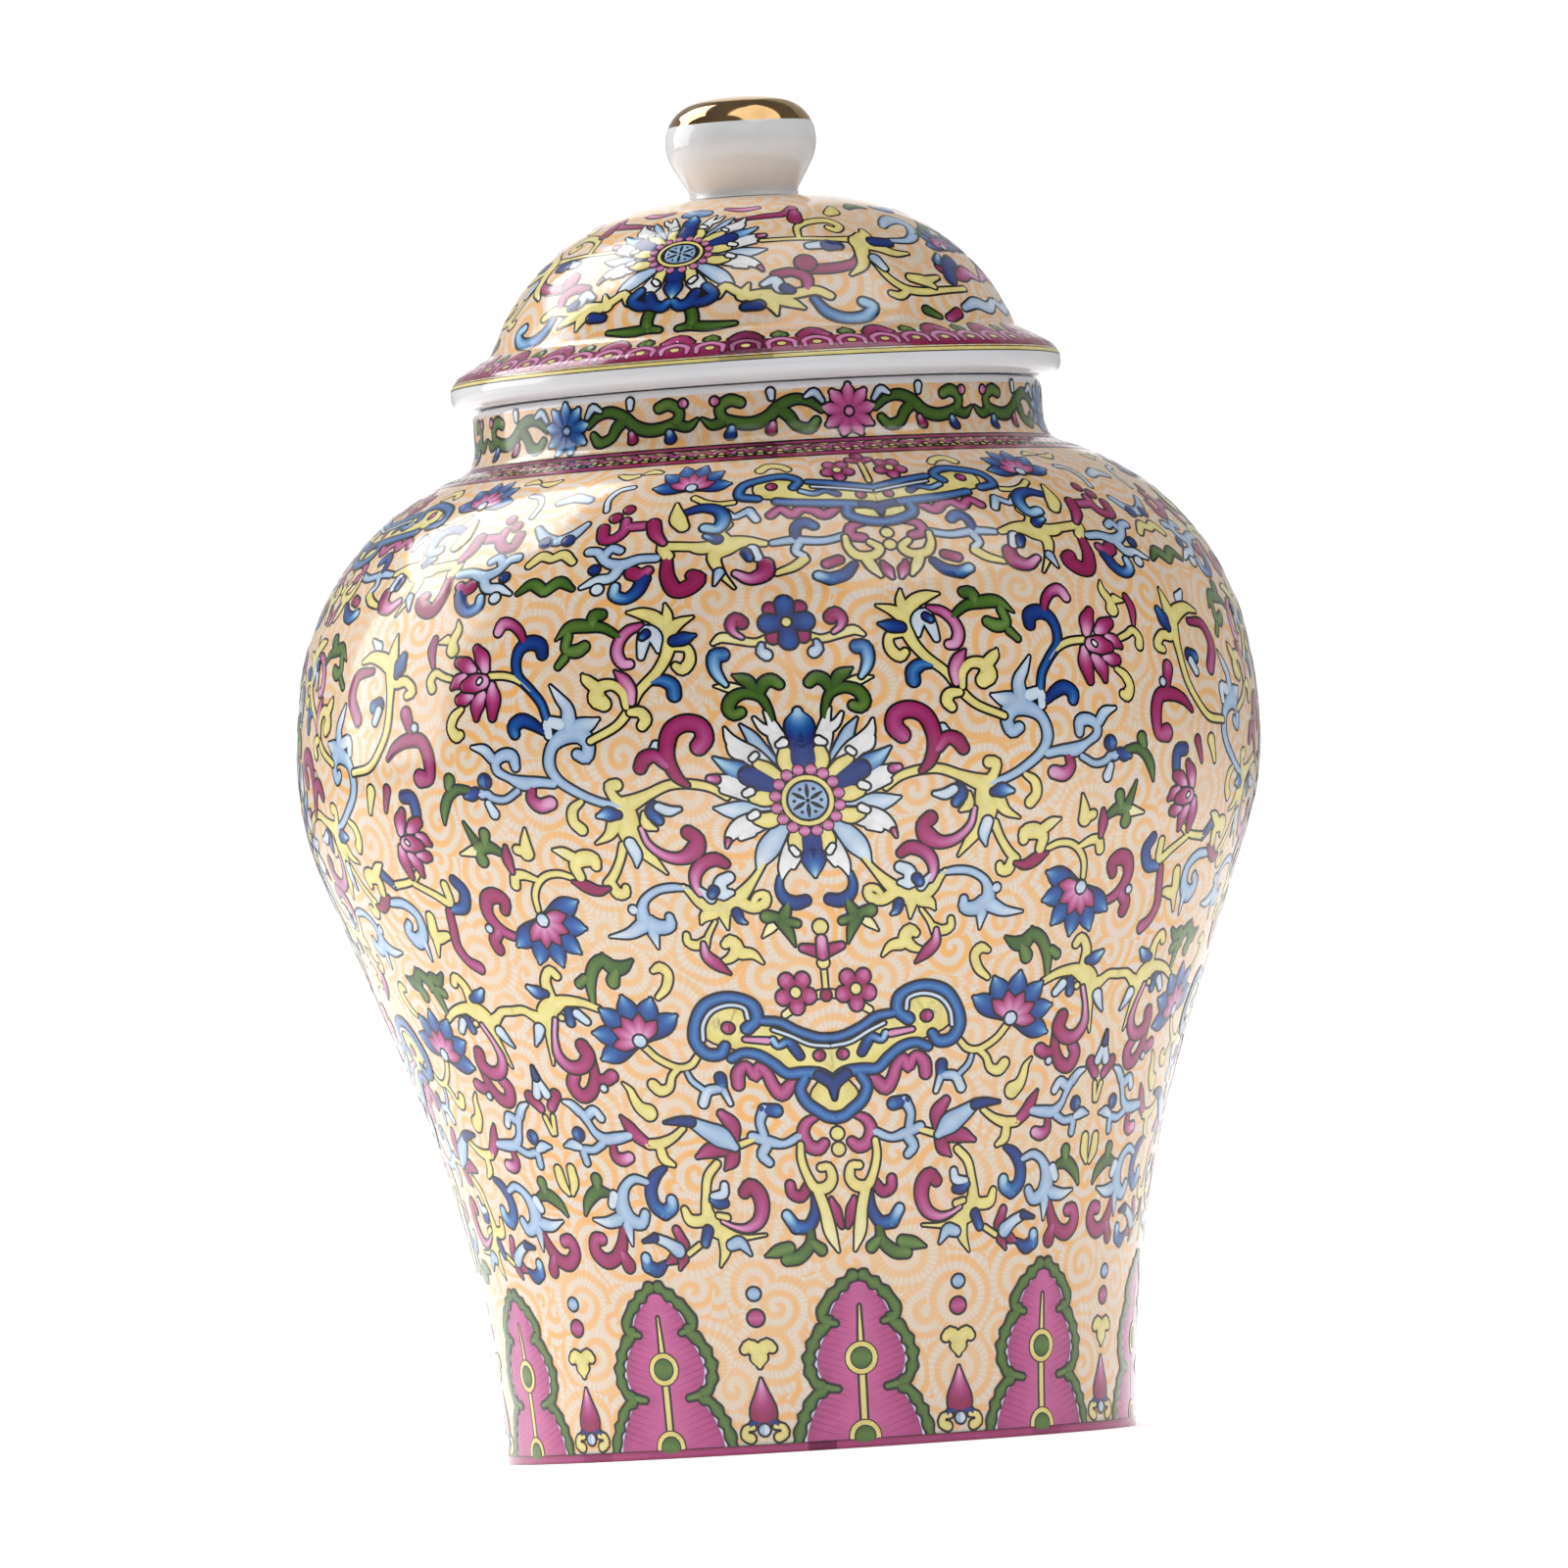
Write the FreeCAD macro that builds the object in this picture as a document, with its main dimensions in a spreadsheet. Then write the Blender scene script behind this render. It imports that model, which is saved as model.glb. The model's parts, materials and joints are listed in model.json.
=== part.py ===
"""Porcelain ginger jar with a loose domed lid.

The jar stands on its foot ring with its axis on +Z and the middle of the foot ring's face at the
origin. Every piece is turned about that axis, so each one is a half outline (radius across,
height up) that is revolved. All lengths are in millimetres and all angles in degrees.
"""

import FreeCAD, Part
import os
from math import atan2, cos, degrees, hypot, radians, sin, sqrt

import Sketcher

DIMENSIONS = [
    # alias, value, meaning
    ("overall_height", 280, "foot face to the top of the knob"),
    ("wall", 4.5, "porcelain thickness of jar and dome"),
    ("floor_top", 9.5, "height of the inside floor"),
    ("belly_radius", 100, "largest outside radius"),
    ("belly_height", 145, "height of the largest radius"),
    ("lower_belly_curve", 66, "profile radius just under the belly"),
    ("cone_angle", 20.5, "lean of the straight lower wall"),
    ("flare_height", 85, "where the straight wall turns into the foot flare"),
    ("flare_curve", 270, "profile radius of the concave foot flare"),
    ("upper_belly_curve", 98.8, "profile radius just over the belly"),
    ("haunch_height", 163.7, "where the shoulder starts to close in"),
    ("shoulder_curve", 53.8, "profile radius of the shoulder"),
    ("neck_radius", 59.2, "outside radius of the neck"),
    ("neck_root_curve", 6, "concave curve between shoulder and neck"),
    ("neck_top", 217.6, "height of the neck's rim"),
    ("rim_round", 1.6, "rounding of the neck's rim"),
    ("recess_radius", 58.6, "inside radius of the unglazed foot ring"),
    ("foot_recess", 3.5, "depth of the base inside the foot ring"),
    ("foot_round", 1.2, "rounding of the foot ring's edges"),
    ("floor_round", 9, "inside curve between floor and wall"),
    ("seat_height", 217.8, "underside of the lid's brim"),
    ("brim_radius", 63.7, "largest radius of the lid"),
    ("brim_under_curve", 3.2, "rounding under the brim's edge"),
    ("brim_upper_curve", 5, "rounding over the brim's edge"),
    ("brim_slope", 30, "slope of the brim's upper face"),
    ("brim_root_curve", 3, "concave curve between brim and dome"),
    ("crown_height", 258.6, "top of the dome"),
    ("crown_flat", 12.6, "radius of the flat crown under the knob"),
    ("dome_curve", 44.8, "profile radius of the dome"),
    ("flange_inner", 50, "inside radius of the locating flange"),
    ("flange_outer", 53.5, "outside radius of the locating flange"),
    ("flange_drop", 12, "depth of the flange under the brim"),
    ("flange_round", 1.2, "rounding of the flange's lower edge"),
    ("knob_radius", 15.7, "largest radius of the knob"),
    ("knob_widest", 270.6, "height of the knob's largest radius"),
    ("knob_lean", 30.4, "lean of the knob's stem"),
    ("knob_lower_curve", 10.6, "profile radius under the widest place"),
    ("knob_upper_curve", 8.6, "profile radius over the widest place"),
    ("knob_luting", 1.2, "concave bead where the knob is luted to the dome"),
    ("gilding_edge", 274, "lower edge of the gilded cap"),
    ("gilding_thickness", 0.12, "thickness of the gilded cap"),
]
SHEET = "Dimensions"
FULL_TURN = 360

doc = FreeCAD.newDocument("ginger_jar")


# ---------------------------------------------------------------- driving dimensions

def make_sheet():
    """Put the driving dimensions into the document's spreadsheet."""
    sheet = doc.addObject("Spreadsheet::Sheet", SHEET)
    for row, (alias, value, meaning) in enumerate(DIMENSIONS, start=1):
        sheet.set(f"A{row}", meaning)
        sheet.set(f"B{row}", str(value))
        sheet.setAlias(f"B{row}", alias)
    doc.recompute()
    return sheet


sheet = make_sheet()


def dim(alias):
    """The value of a driving dimension."""
    return float(getattr(sheet, alias))


def cell(alias):
    """The expression that names a driving dimension."""
    return f"{SHEET}.{alias}"


def turned(centre, radius, angle):
    """The point at an angle on a circle in the (radius, height) plane."""
    return (centre[0] + radius * cos(angle), centre[1] + radius * sin(angle))


# ---------------------------------------------------------------- sketches and features

class Outline:
    """A closed outline on a body's XZ plane, drawn anticlockwise edge by edge."""

    ORIGIN = (-1, 1)
    HEIGHT_AXIS = -2
    CENTRE = 3

    def __init__(self, body, name):
        self.sketch = body.newObject("Sketcher::SketchObject", name)
        planes = [item for item in body.Origin.OriginFeatures if item.Role == "XZ_Plane"]
        self.sketch.AttachmentSupport = (planes[0], "")
        self.sketch.MapMode = "FlatFace"
        self.ends = []

    def line(self, start, end):
        """Add a straight edge and return its number."""
        first, last = FreeCAD.Vector(*start, 0), FreeCAD.Vector(*end, 0)
        self.sketch.addGeometry(Part.LineSegment(first, last), False)
        self.ends.append((1, 2))
        return len(self.ends) - 1

    def arc(self, centre, start, end, convex=True):
        """Add a round edge; a convex one has its centre on the porcelain's side."""
        radius = hypot(start[0] - centre[0], start[1] - centre[1])
        angles = [atan2(point[1] - centre[1], point[0] - centre[0]) for point in (start, end)]
        circle = Part.Circle(FreeCAD.Vector(*centre, 0), FreeCAD.Vector(0, 0, 1), radius)
        if not convex:
            angles.reverse()
        self.sketch.addGeometry(Part.ArcOfCircle(circle, *angles), False)
        self.ends.append((1, 2) if convex else (2, 1))
        return len(self.ends) - 1

    def chain(self, smooth=()):
        """Join each edge to the next one; smooth lists the edges that run on tangentially."""
        count = len(self.ends)
        for edge in range(count):
            follower = (edge + 1) % count
            kind = "Tangent" if edge in smooth else "Coincident"
            join = (edge, self.ends[edge][1], follower, self.ends[follower][0])
            self.sketch.addConstraint(Sketcher.Constraint(kind, *join))

    def upright(self, *edges):
        for edge in edges:
            self.sketch.addConstraint(Sketcher.Constraint("Vertical", edge))

    def level(self, *edges):
        for edge in edges:
            self.sketch.addConstraint(Sketcher.Constraint("Horizontal", edge))

    def on_axis(self, edge, place):
        """Hold a point on the height axis; place is start, end or centre."""
        spot = self.spot(edge, place)
        self.sketch.addConstraint(Sketcher.Constraint("PointOnObject", *spot, self.HEIGHT_AXIS))

    def spot(self, edge, place):
        if place == "centre":
            return (edge, self.CENTRE)
        return (edge, self.ends[edge][0 if place == "start" else 1])

    def size(self, kind, reference, value, expression):
        """Add one dimension and bind it to the spreadsheet."""
        number = self.sketch.addConstraint(Sketcher.Constraint(kind, *reference, value))
        self.sketch.setExpression(f"Constraints[{number}]", expression)

    def radius(self, edge, expression):
        value = self.sketch.Geometry[edge].Radius
        self.size("Radius", (edge,), value, expression)

    def place(self, edge, where, across=None, up=None):
        """Fix the radius and the height of an end or centre."""
        spot = self.spot(edge, where)
        point = self.sketch.getPoint(*spot)
        if across is not None:
            self.size("DistanceX", (*self.ORIGIN, *spot), point.x, across)
        if up is not None:
            self.size("DistanceY", (*self.ORIGIN, *spot), point.y, up)

    def concentric(self, edge, other):
        join = (edge, self.CENTRE, other, self.CENTRE)
        self.sketch.addConstraint(Sketcher.Constraint("Coincident", *join))

    def aimed_at_centre(self, edge, round_edge):
        """Point a straight edge at the centre of a round one."""
        join = (round_edge, self.CENTRE, edge)
        self.sketch.addConstraint(Sketcher.Constraint("PointOnObject", *join))


def make_body(label):
    body = doc.addObject("PartDesign::Body", label)
    body.Label = label
    return body


def turn(body, outline, kind, name):
    """Revolve an outline about the height axis, as added or removed material."""
    feature = body.newObject(f"PartDesign::{kind}", name)
    feature.Profile = outline.sketch
    feature.ReferenceAxis = (outline.sketch, ["V_Axis"])
    feature.Angle = FULL_TURN
    outline.sketch.Visibility = False
    doc.recompute()
    return feature


def round_edges(body, base, circles, expression, name):
    """Round the circular edges of the given (radius, height)."""
    near = 0.05
    names = []
    for number, edge in enumerate(base.Shape.Edges, start=1):
        curve = edge.Curve
        if not isinstance(curve, Part.Circle):
            continue
        for radius, height in circles:
            if abs(curve.Radius - radius) < near and abs(curve.Center.z - height) < near:
                names.append(f"Edge{number}")
    fillet = body.newObject("PartDesign::Fillet", name)
    fillet.Base = (base, names)
    fillet.setExpression("Radius", expression)
    doc.recompute()
    return fillet


# ---------------------------------------------------------------- jar

def jar_outline(body, name, inset, inset_cell, bottom_cell):
    """The jar's outside outline, or its inside one, which lies one wall further in."""
    lean = radians(dim("cone_angle"))
    belly = dim("belly_height")
    bottom = dim(bottom_cell) if bottom_cell else 0

    lower = dim("lower_belly_curve") - inset
    lower_centre = (dim("belly_radius") - dim("lower_belly_curve"), belly)
    widest = (dim("belly_radius") - inset, belly)
    cone_top = turned(lower_centre, lower, -lean)
    cone_foot_height = dim("flare_height") + inset * sin(lean)
    run = (cone_top[1] - cone_foot_height) / cos(lean)
    cone_foot = (cone_top[0] - run * sin(lean), cone_foot_height)
    flare = dim("flare_curve") + inset
    flare_centre = turned(cone_foot, flare, -lean)
    foot = (flare_centre[0] - sqrt(flare ** 2 - (flare_centre[1] - bottom) ** 2), bottom)

    upper = dim("upper_belly_curve") - inset
    upper_centre = (dim("belly_radius") - dim("upper_belly_curve"), belly)
    rise = (dim("haunch_height") - belly) / dim("upper_belly_curve")
    haunch = (upper_centre[0] + upper * sqrt(1 - rise ** 2), belly + upper * rise)
    shoulder = dim("shoulder_curve") - inset
    shoulder_centre = (haunch[0] - shoulder * sqrt(1 - rise ** 2), haunch[1] - shoulder * rise)
    root = dim("neck_root_curve") + inset
    neck = dim("neck_radius") - inset
    reach = shoulder + root
    offset = neck + root - shoulder_centre[0]
    root_centre = (neck + root, shoulder_centre[1] + sqrt(reach ** 2 - offset ** 2))
    share = shoulder / reach
    shoulder_end = (shoulder_centre[0] + share * offset,
                    shoulder_centre[1] + share * (root_centre[1] - shoulder_centre[1]))
    rim = (neck, dim("neck_top"))

    outline = Outline(body, name)
    base_edge = outline.line((0, bottom), foot)
    flare_edge = outline.arc(flare_centre, foot, cone_foot, convex=False)
    cone_edge = outline.line(cone_foot, cone_top)
    lower_edge = outline.arc(lower_centre, cone_top, widest)
    upper_edge = outline.arc(upper_centre, widest, haunch)
    shoulder_edge = outline.arc(shoulder_centre, haunch, shoulder_end)
    root_edge = outline.arc(root_centre, shoulder_end, (neck, root_centre[1]), convex=False)
    neck_edge = outline.line((neck, root_centre[1]), rim)
    rim_edge = outline.line(rim, (0, rim[1]))
    axis_edge = outline.line((0, rim[1]), (0, bottom))

    outline.chain(smooth=(flare_edge, cone_edge, lower_edge, upper_edge, shoulder_edge, root_edge))
    outline.level(base_edge, rim_edge)
    outline.upright(neck_edge)
    outline.on_axis(axis_edge, "start")
    outline.on_axis(axis_edge, "end")
    outline.radius(flare_edge, f"{cell('flare_curve')} + {inset_cell}")
    outline.radius(lower_edge, f"{cell('lower_belly_curve')} - {inset_cell}")
    outline.radius(upper_edge, f"{cell('upper_belly_curve')} - {inset_cell}")
    outline.radius(shoulder_edge, f"{cell('shoulder_curve')} - {inset_cell}")
    outline.radius(root_edge, f"{cell('neck_root_curve')} + {inset_cell}")
    outline.place(lower_edge, "end", across=f"{cell('belly_radius')} - {inset_cell}",
                  up=cell("belly_height"))
    outline.place(lower_edge, "centre", up=cell("belly_height"))
    lean_expression = f"90 - {cell('cone_angle')}"
    number = outline.sketch.addConstraint(
        Sketcher.Constraint("Angle", cone_edge, radians(90) - lean))
    outline.sketch.setExpression(f"Constraints[{number}]", f"({lean_expression}) * 1 deg")
    outline.place(cone_edge, "start",
                  up=f"{cell('flare_height')} + {inset_cell} * sin({cell('cone_angle')})")
    rise_expression = (f"({cell('haunch_height')} - {cell('belly_height')})"
                       f" / {cell('upper_belly_curve')}")
    outline.place(upper_edge, "end", up=f"{cell('belly_height')} + {rise_expression}"
                                        f" * ({cell('upper_belly_curve')} - {inset_cell})")
    outline.place(neck_edge, "end", across=f"{cell('neck_radius')} - {inset_cell}",
                  up=cell("neck_top"))
    if bottom_cell:
        outline.place(base_edge, "end", up=cell(bottom_cell))
    else:
        outline.sketch.addConstraint(Sketcher.Constraint(
            "PointOnObject", *outline.spot(base_edge, "end"), -1))
    return outline, foot


def rectangle(body, name, low, high, cells):
    """A rectangle between two corners; cells names the four sides' expressions."""
    outline = Outline(body, name)
    corners = [low, (high[0], low[1]), high, (low[0], high[1])]
    for corner, following in zip(corners, corners[1:] + corners[:1]):
        outline.line(corner, following)
    outline.chain()
    outline.level(0, 2)
    outline.upright(1, 3)
    inner, bottom, outer, top = cells
    outline.place(1, "end", across=outer, up=top)
    if inner:
        outline.place(3, "end", across=inner)
    else:
        outline.on_axis(3, "end")
    if bottom:
        outline.place(3, "end", up=bottom)
    else:
        outline.sketch.addConstraint(Sketcher.Constraint(
            "PointOnObject", *outline.spot(3, "end"), -1))
    return outline


def make_jar_body():
    """Foot ring, wall, shoulder and neck, formed as one piece of porcelain."""
    body = make_body("jar_body")
    outside, foot = jar_outline(body, "outside", 0, "0", None)
    turn(body, outside, "Revolution", "thrown_shape")
    inside, corner = jar_outline(body, "inside", dim("wall"), cell("wall"), "floor_top")
    turn(body, inside, "Groove", "hollow")

    foot_inner = dim("recess_radius")
    recess = rectangle(body, "base_recess", (0, 0), (foot_inner, dim("foot_recess")),
                       ("", "", cell("recess_radius"), cell("foot_recess")))
    hollow_base = turn(body, recess, "Groove", "turned_base")

    floor_curve = round_edges(body, hollow_base, [(corner[0], corner[1])],
                              cell("floor_round"), "floor_curve")
    foot_edges = round_edges(body, floor_curve, [(foot[0], 0), (foot_inner, 0)],
                             cell("foot_round"), "foot_edges")
    rim = [(dim("neck_radius"), dim("neck_top")),
           (dim("neck_radius") - dim("wall"), dim("neck_top"))]
    round_edges(body, foot_edges, rim, cell("rim_round"), "neck_rim")
    return body


# ---------------------------------------------------------------- lid

def make_lid_dome():
    """The lid's dome and its brim, which rests on the neck."""
    seat, brim = dim("seat_height"), dim("brim_radius")
    under, over = dim("brim_under_curve"), dim("brim_upper_curve")
    slope = radians(dim("brim_slope"))
    root, dome = dim("brim_root_curve"), dim("dome_curve")
    crown, flat = dim("crown_height"), dim("crown_flat")

    edge_height = seat + under
    under_centre, over_centre = (brim - under, edge_height), (brim - over, edge_height)
    slope_top = turned(over_centre, over, radians(90) - slope)
    dome_centre = (flat, crown - dome)
    along, away = (-cos(slope), sin(slope)), (sin(slope), cos(slope))
    start = (slope_top[0] + root * away[0] - dome_centre[0],
             slope_top[1] + root * away[1] - dome_centre[1])
    half = start[0] * along[0] + start[1] * along[1]
    run = -half - sqrt(half ** 2 - start[0] ** 2 - start[1] ** 2 + (dome + root) ** 2)
    root_centre = (dome_centre[0] + start[0] + run * along[0],
                   dome_centre[1] + start[1] + run * along[1])
    slope_foot = (root_centre[0] - root * away[0], root_centre[1] - root * away[1])
    bearing = atan2(root_centre[1] - dome_centre[1], root_centre[0] - dome_centre[0])
    dome_foot = turned(dome_centre, dome, bearing)

    body = make_body("lid_dome")
    outline = Outline(body, "outside")
    seat_edge = outline.line((0, seat), (brim - under, seat))
    under_edge = outline.arc(under_centre, (brim - under, seat), (brim, edge_height))
    over_edge = outline.arc(over_centre, (brim, edge_height), slope_top)
    slope_edge = outline.line(slope_top, slope_foot)
    root_edge = outline.arc(root_centre, slope_foot, dome_foot, convex=False)
    dome_edge = outline.arc(dome_centre, dome_foot, (flat, crown))
    crown_edge = outline.line((flat, crown), (0, crown))
    axis_edge = outline.line((0, crown), (0, seat))
    outline.chain(smooth=(seat_edge, under_edge, over_edge, slope_edge, root_edge, dome_edge))
    outline.level(seat_edge, crown_edge)
    outline.on_axis(axis_edge, "start")
    outline.on_axis(axis_edge, "end")
    outline.radius(under_edge, cell("brim_under_curve"))
    outline.radius(over_edge, cell("brim_upper_curve"))
    outline.radius(root_edge, cell("brim_root_curve"))
    outline.radius(dome_edge, cell("dome_curve"))
    outline.place(under_edge, "end", across=cell("brim_radius"),
                  up=f"{cell('seat_height')} + {cell('brim_under_curve')}")
    outline.place(seat_edge, "end", up=cell("seat_height"))
    number = outline.sketch.addConstraint(
        Sketcher.Constraint("Angle", slope_edge, radians(180) - slope))
    outline.sketch.setExpression(f"Constraints[{number}]", f"(180 - {cell('brim_slope')}) * 1 deg")
    outline.place(dome_edge, "end", across=cell("crown_flat"), up=cell("crown_height"))
    turn(body, outline, "Revolution", "thrown_shape")

    thin = dim("wall")
    flange = dim("flange_inner")
    corner = (flange, dome_centre[1] + sqrt((dome - thin) ** 2 - (flange - flat) ** 2))
    hollow = Outline(body, "inside")
    mouth_edge = hollow.line((0, seat), (flange, seat))
    side_edge = hollow.line((flange, seat), corner)
    vault_edge = hollow.arc(dome_centre, corner, (flat, crown - thin))
    top_edge = hollow.line((flat, crown - thin), (0, crown - thin))
    axis_edge = hollow.line((0, crown - thin), (0, seat))
    hollow.chain(smooth=(vault_edge,))
    hollow.level(mouth_edge, top_edge)
    hollow.upright(side_edge)
    hollow.on_axis(axis_edge, "start")
    hollow.on_axis(axis_edge, "end")
    hollow.radius(vault_edge, f"{cell('dome_curve')} - {cell('wall')}")
    hollow.place(vault_edge, "end", across=cell("crown_flat"),
                 up=f"{cell('crown_height')} - {cell('wall')}")
    hollow.place(mouth_edge, "end", across=cell("flange_inner"), up=cell("seat_height"))
    turn(body, hollow, "Groove", "hollow")
    return body


def make_lid_flange():
    """The ring luted under the dome that drops into the neck and centres the lid."""
    body = make_body("lid_flange")
    inner, outer = dim("flange_inner"), dim("flange_outer")
    bottom, top = dim("seat_height") - dim("flange_drop"), dim("seat_height")
    outline = rectangle(body, "section", (inner, bottom), (outer, top),
                        (cell("flange_inner"), f"{cell('seat_height')} - {cell('flange_drop')}",
                         cell("flange_outer"), cell("seat_height")))
    ring = turn(body, outline, "Revolution", "ring")
    round_edges(body, ring, [(inner, bottom), (outer, bottom)], cell("flange_round"),
                "lower_edges")
    return body


# ---------------------------------------------------------------- knob

class KnobShape:
    """Places on the knob's outline, worked out from the driving dimensions."""

    def __init__(self):
        self.crown = dim("crown_height")
        self.top = dim("overall_height")
        self.lean = radians(dim("knob_lean"))
        self.lower, self.upper = dim("knob_lower_curve"), dim("knob_upper_curve")
        widest = dim("knob_widest")
        self.widest = (dim("knob_radius"), widest)
        self.lower_centre = (self.widest[0] - self.lower, widest)
        self.upper_centre = (self.widest[0] - self.upper, widest)
        # the top arc is centred on the axis and touches the upper arc from outside
        across, drop = self.upper_centre[0], self.top - widest
        self.top_curve = ((drop ** 2 + across ** 2 - self.upper ** 2)
                          / (2 * (drop - self.upper)))
        self.top_centre = (0, self.top - self.top_curve)
        self.touch = atan2(self.upper_centre[1] - self.top_centre[1], across)
        self.gilding_angle = atan2(dim("gilding_edge") - widest,
                                   sqrt(self.upper ** 2 - (dim("gilding_edge") - widest) ** 2))
        stem_top = turned(self.lower_centre, self.lower, -self.lean)
        bead = dim("knob_luting")
        stem_foot_height = self.crown + bead * (1 + sin(self.lean))
        run = (stem_top[1] - stem_foot_height) / cos(self.lean)
        self.stem_top = stem_top
        self.stem_foot = (stem_top[0] - run * sin(self.lean), stem_foot_height)
        self.bead_centre = turned(self.stem_foot, bead, -self.lean)

    def on_upper(self, angle, inset=0):
        return turned(self.upper_centre, self.upper - inset, angle)


def make_knob():
    """The white knob, luted on the crown of the dome."""
    shape = KnobShape()
    gold = dim("gilding_thickness")
    body = make_body("knob")
    outline = Outline(body, "section")
    foot = (shape.bead_centre[0], shape.crown)
    base_edge = outline.line((0, shape.crown), foot)
    bead_edge = outline.arc(shape.bead_centre, foot, shape.stem_foot, convex=False)
    stem_edge = outline.line(shape.stem_foot, shape.stem_top)
    lower_edge = outline.arc(shape.lower_centre, shape.stem_top, shape.widest)
    step_out = shape.on_upper(shape.gilding_angle)
    step_in = shape.on_upper(shape.gilding_angle, gold)
    upper_edge = outline.arc(shape.upper_centre, shape.widest, step_out)
    step_edge = outline.line(step_out, step_in)
    touch = shape.on_upper(shape.touch, gold)
    under_edge = outline.arc(shape.upper_centre, step_in, touch)
    top_edge = outline.arc(shape.top_centre, touch, (0, shape.top - gold))
    axis_edge = outline.line((0, shape.top - gold), (0, shape.crown))
    outline.chain(smooth=(base_edge, bead_edge, stem_edge, lower_edge, under_edge))
    outline.level(base_edge)
    outline.on_axis(axis_edge, "start")
    outline.on_axis(axis_edge, "end")
    outline.on_axis(top_edge, "centre")
    outline.concentric(under_edge, upper_edge)
    outline.radius(bead_edge, cell("knob_luting"))
    outline.radius(lower_edge, cell("knob_lower_curve"))
    outline.radius(upper_edge, cell("knob_upper_curve"))
    outline.radius(under_edge, f"{cell('knob_upper_curve')} - {cell('gilding_thickness')}")
    outline.place(top_edge, "end",
                  up=f"{cell('overall_height')} - {cell('gilding_thickness')}")
    outline.aimed_at_centre(step_edge, upper_edge)
    outline.place(lower_edge, "end", across=cell("knob_radius"), up=cell("knob_widest"))
    outline.place(lower_edge, "centre", up=cell("knob_widest"))
    outline.place(base_edge, "end", up=cell("crown_height"))
    outline.place(upper_edge, "end", up=cell("gilding_edge"))
    number = outline.sketch.addConstraint(
        Sketcher.Constraint("Angle", stem_edge, radians(90) - shape.lean))
    outline.sketch.setExpression(f"Constraints[{number}]", f"(90 - {cell('knob_lean')}) * 1 deg")
    turn(body, outline, "Revolution", "turned_shape")
    return body


def make_knob_gilding():
    """The fired gold on the knob's cap, a thin skin face to face with the porcelain."""
    shape = KnobShape()
    gold = dim("gilding_thickness")
    body = make_body("knob_gilding")
    outline = Outline(body, "section")
    step_out = shape.on_upper(shape.gilding_angle)
    step_in = shape.on_upper(shape.gilding_angle, gold)
    outer_touch = shape.on_upper(shape.touch)
    inner_touch = shape.on_upper(shape.touch, gold)
    step_edge = outline.line(step_in, step_out)
    rim_edge = outline.arc(shape.upper_centre, step_out, outer_touch)
    top_edge = outline.arc(shape.top_centre, outer_touch, (0, shape.top))
    axis_edge = outline.line((0, shape.top), (0, shape.top - gold))
    under_top_edge = outline.arc(shape.top_centre, (0, shape.top - gold), inner_touch,
                                 convex=False)
    under_rim_edge = outline.arc(shape.upper_centre, inner_touch, step_in, convex=False)
    outline.chain(smooth=(rim_edge, under_top_edge))
    outline.on_axis(axis_edge, "start")
    outline.on_axis(axis_edge, "end")
    outline.on_axis(top_edge, "centre")
    outline.concentric(under_top_edge, top_edge)
    outline.concentric(under_rim_edge, rim_edge)
    outline.aimed_at_centre(step_edge, rim_edge)
    outline.radius(rim_edge, cell("knob_upper_curve"))
    outline.place(top_edge, "end", up=cell("overall_height"))
    outline.place(axis_edge, "end", up=f"{cell('overall_height')} - {cell('gilding_thickness')}")
    outline.place(rim_edge, "centre",
                  across=f"{cell('knob_radius')} - {cell('knob_upper_curve')}",
                  up=cell("knob_widest"))
    outline.place(rim_edge, "start", up=cell("gilding_edge"))
    turn(body, outline, "Revolution", "skin")
    return body


# ---------------------------------------------------------------- build and write

def check_document():
    """Stop if any object of the document failed."""
    for item in doc.Objects:
        if "Invalid" in item.State or "Error" in item.State:
            raise RuntimeError(f"{item.Label}: {item.State}")


def check_shape(body):
    """Stop if a piece isn't one sound solid."""
    shape = body.Shape
    if shape.isNull() or not shape.isValid() or len(shape.Solids) != 1:
        raise RuntimeError(f"{body.Label} isn't one valid solid")


pieces = [make_jar_body(), make_lid_dome(), make_lid_flange(), make_knob(), make_knob_gilding()]
doc.recompute()
check_document()
for piece in pieces:
    check_shape(piece)

os.makedirs("parts", exist_ok=True)
for piece in pieces:
    piece.Shape.exportStep(f"parts/{piece.Label}.step")
    box = piece.Shape.optimalBoundingBox()
    print(f"{piece.Label}: {piece.Shape.Volume / 1000:.1f} cm3, "
          f"radius {box.XMax:.2f}, z {box.ZMin:.2f} to {box.ZMax:.2f}")
for item in doc.Objects:
    if item.TypeId == "Sketcher::SketchObject":
        print(f"{item.getParentGeoFeatureGroup().Label}/{item.Label}: "
              f"fully constrained {item.FullyConstrained}")
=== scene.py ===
"""Looks of the porcelain ginger jar: glazed surfaces, fired enamel painting and gilding.

The painting is a transfer printed flat and laid on the turned surfaces. It is drawn here in
millimetres on a flat sheet, x around the jar and s up along its profile, and every brush stroke
becomes a thin skin on the glaze: a dark one that shows as the outline, and a coloured one on it.
"""

import json
from math import atan2, ceil, cos, degrees, hypot, pi, radians, sin, sqrt

import bpy
import numpy as np
from mathutils import Matrix, Vector

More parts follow.
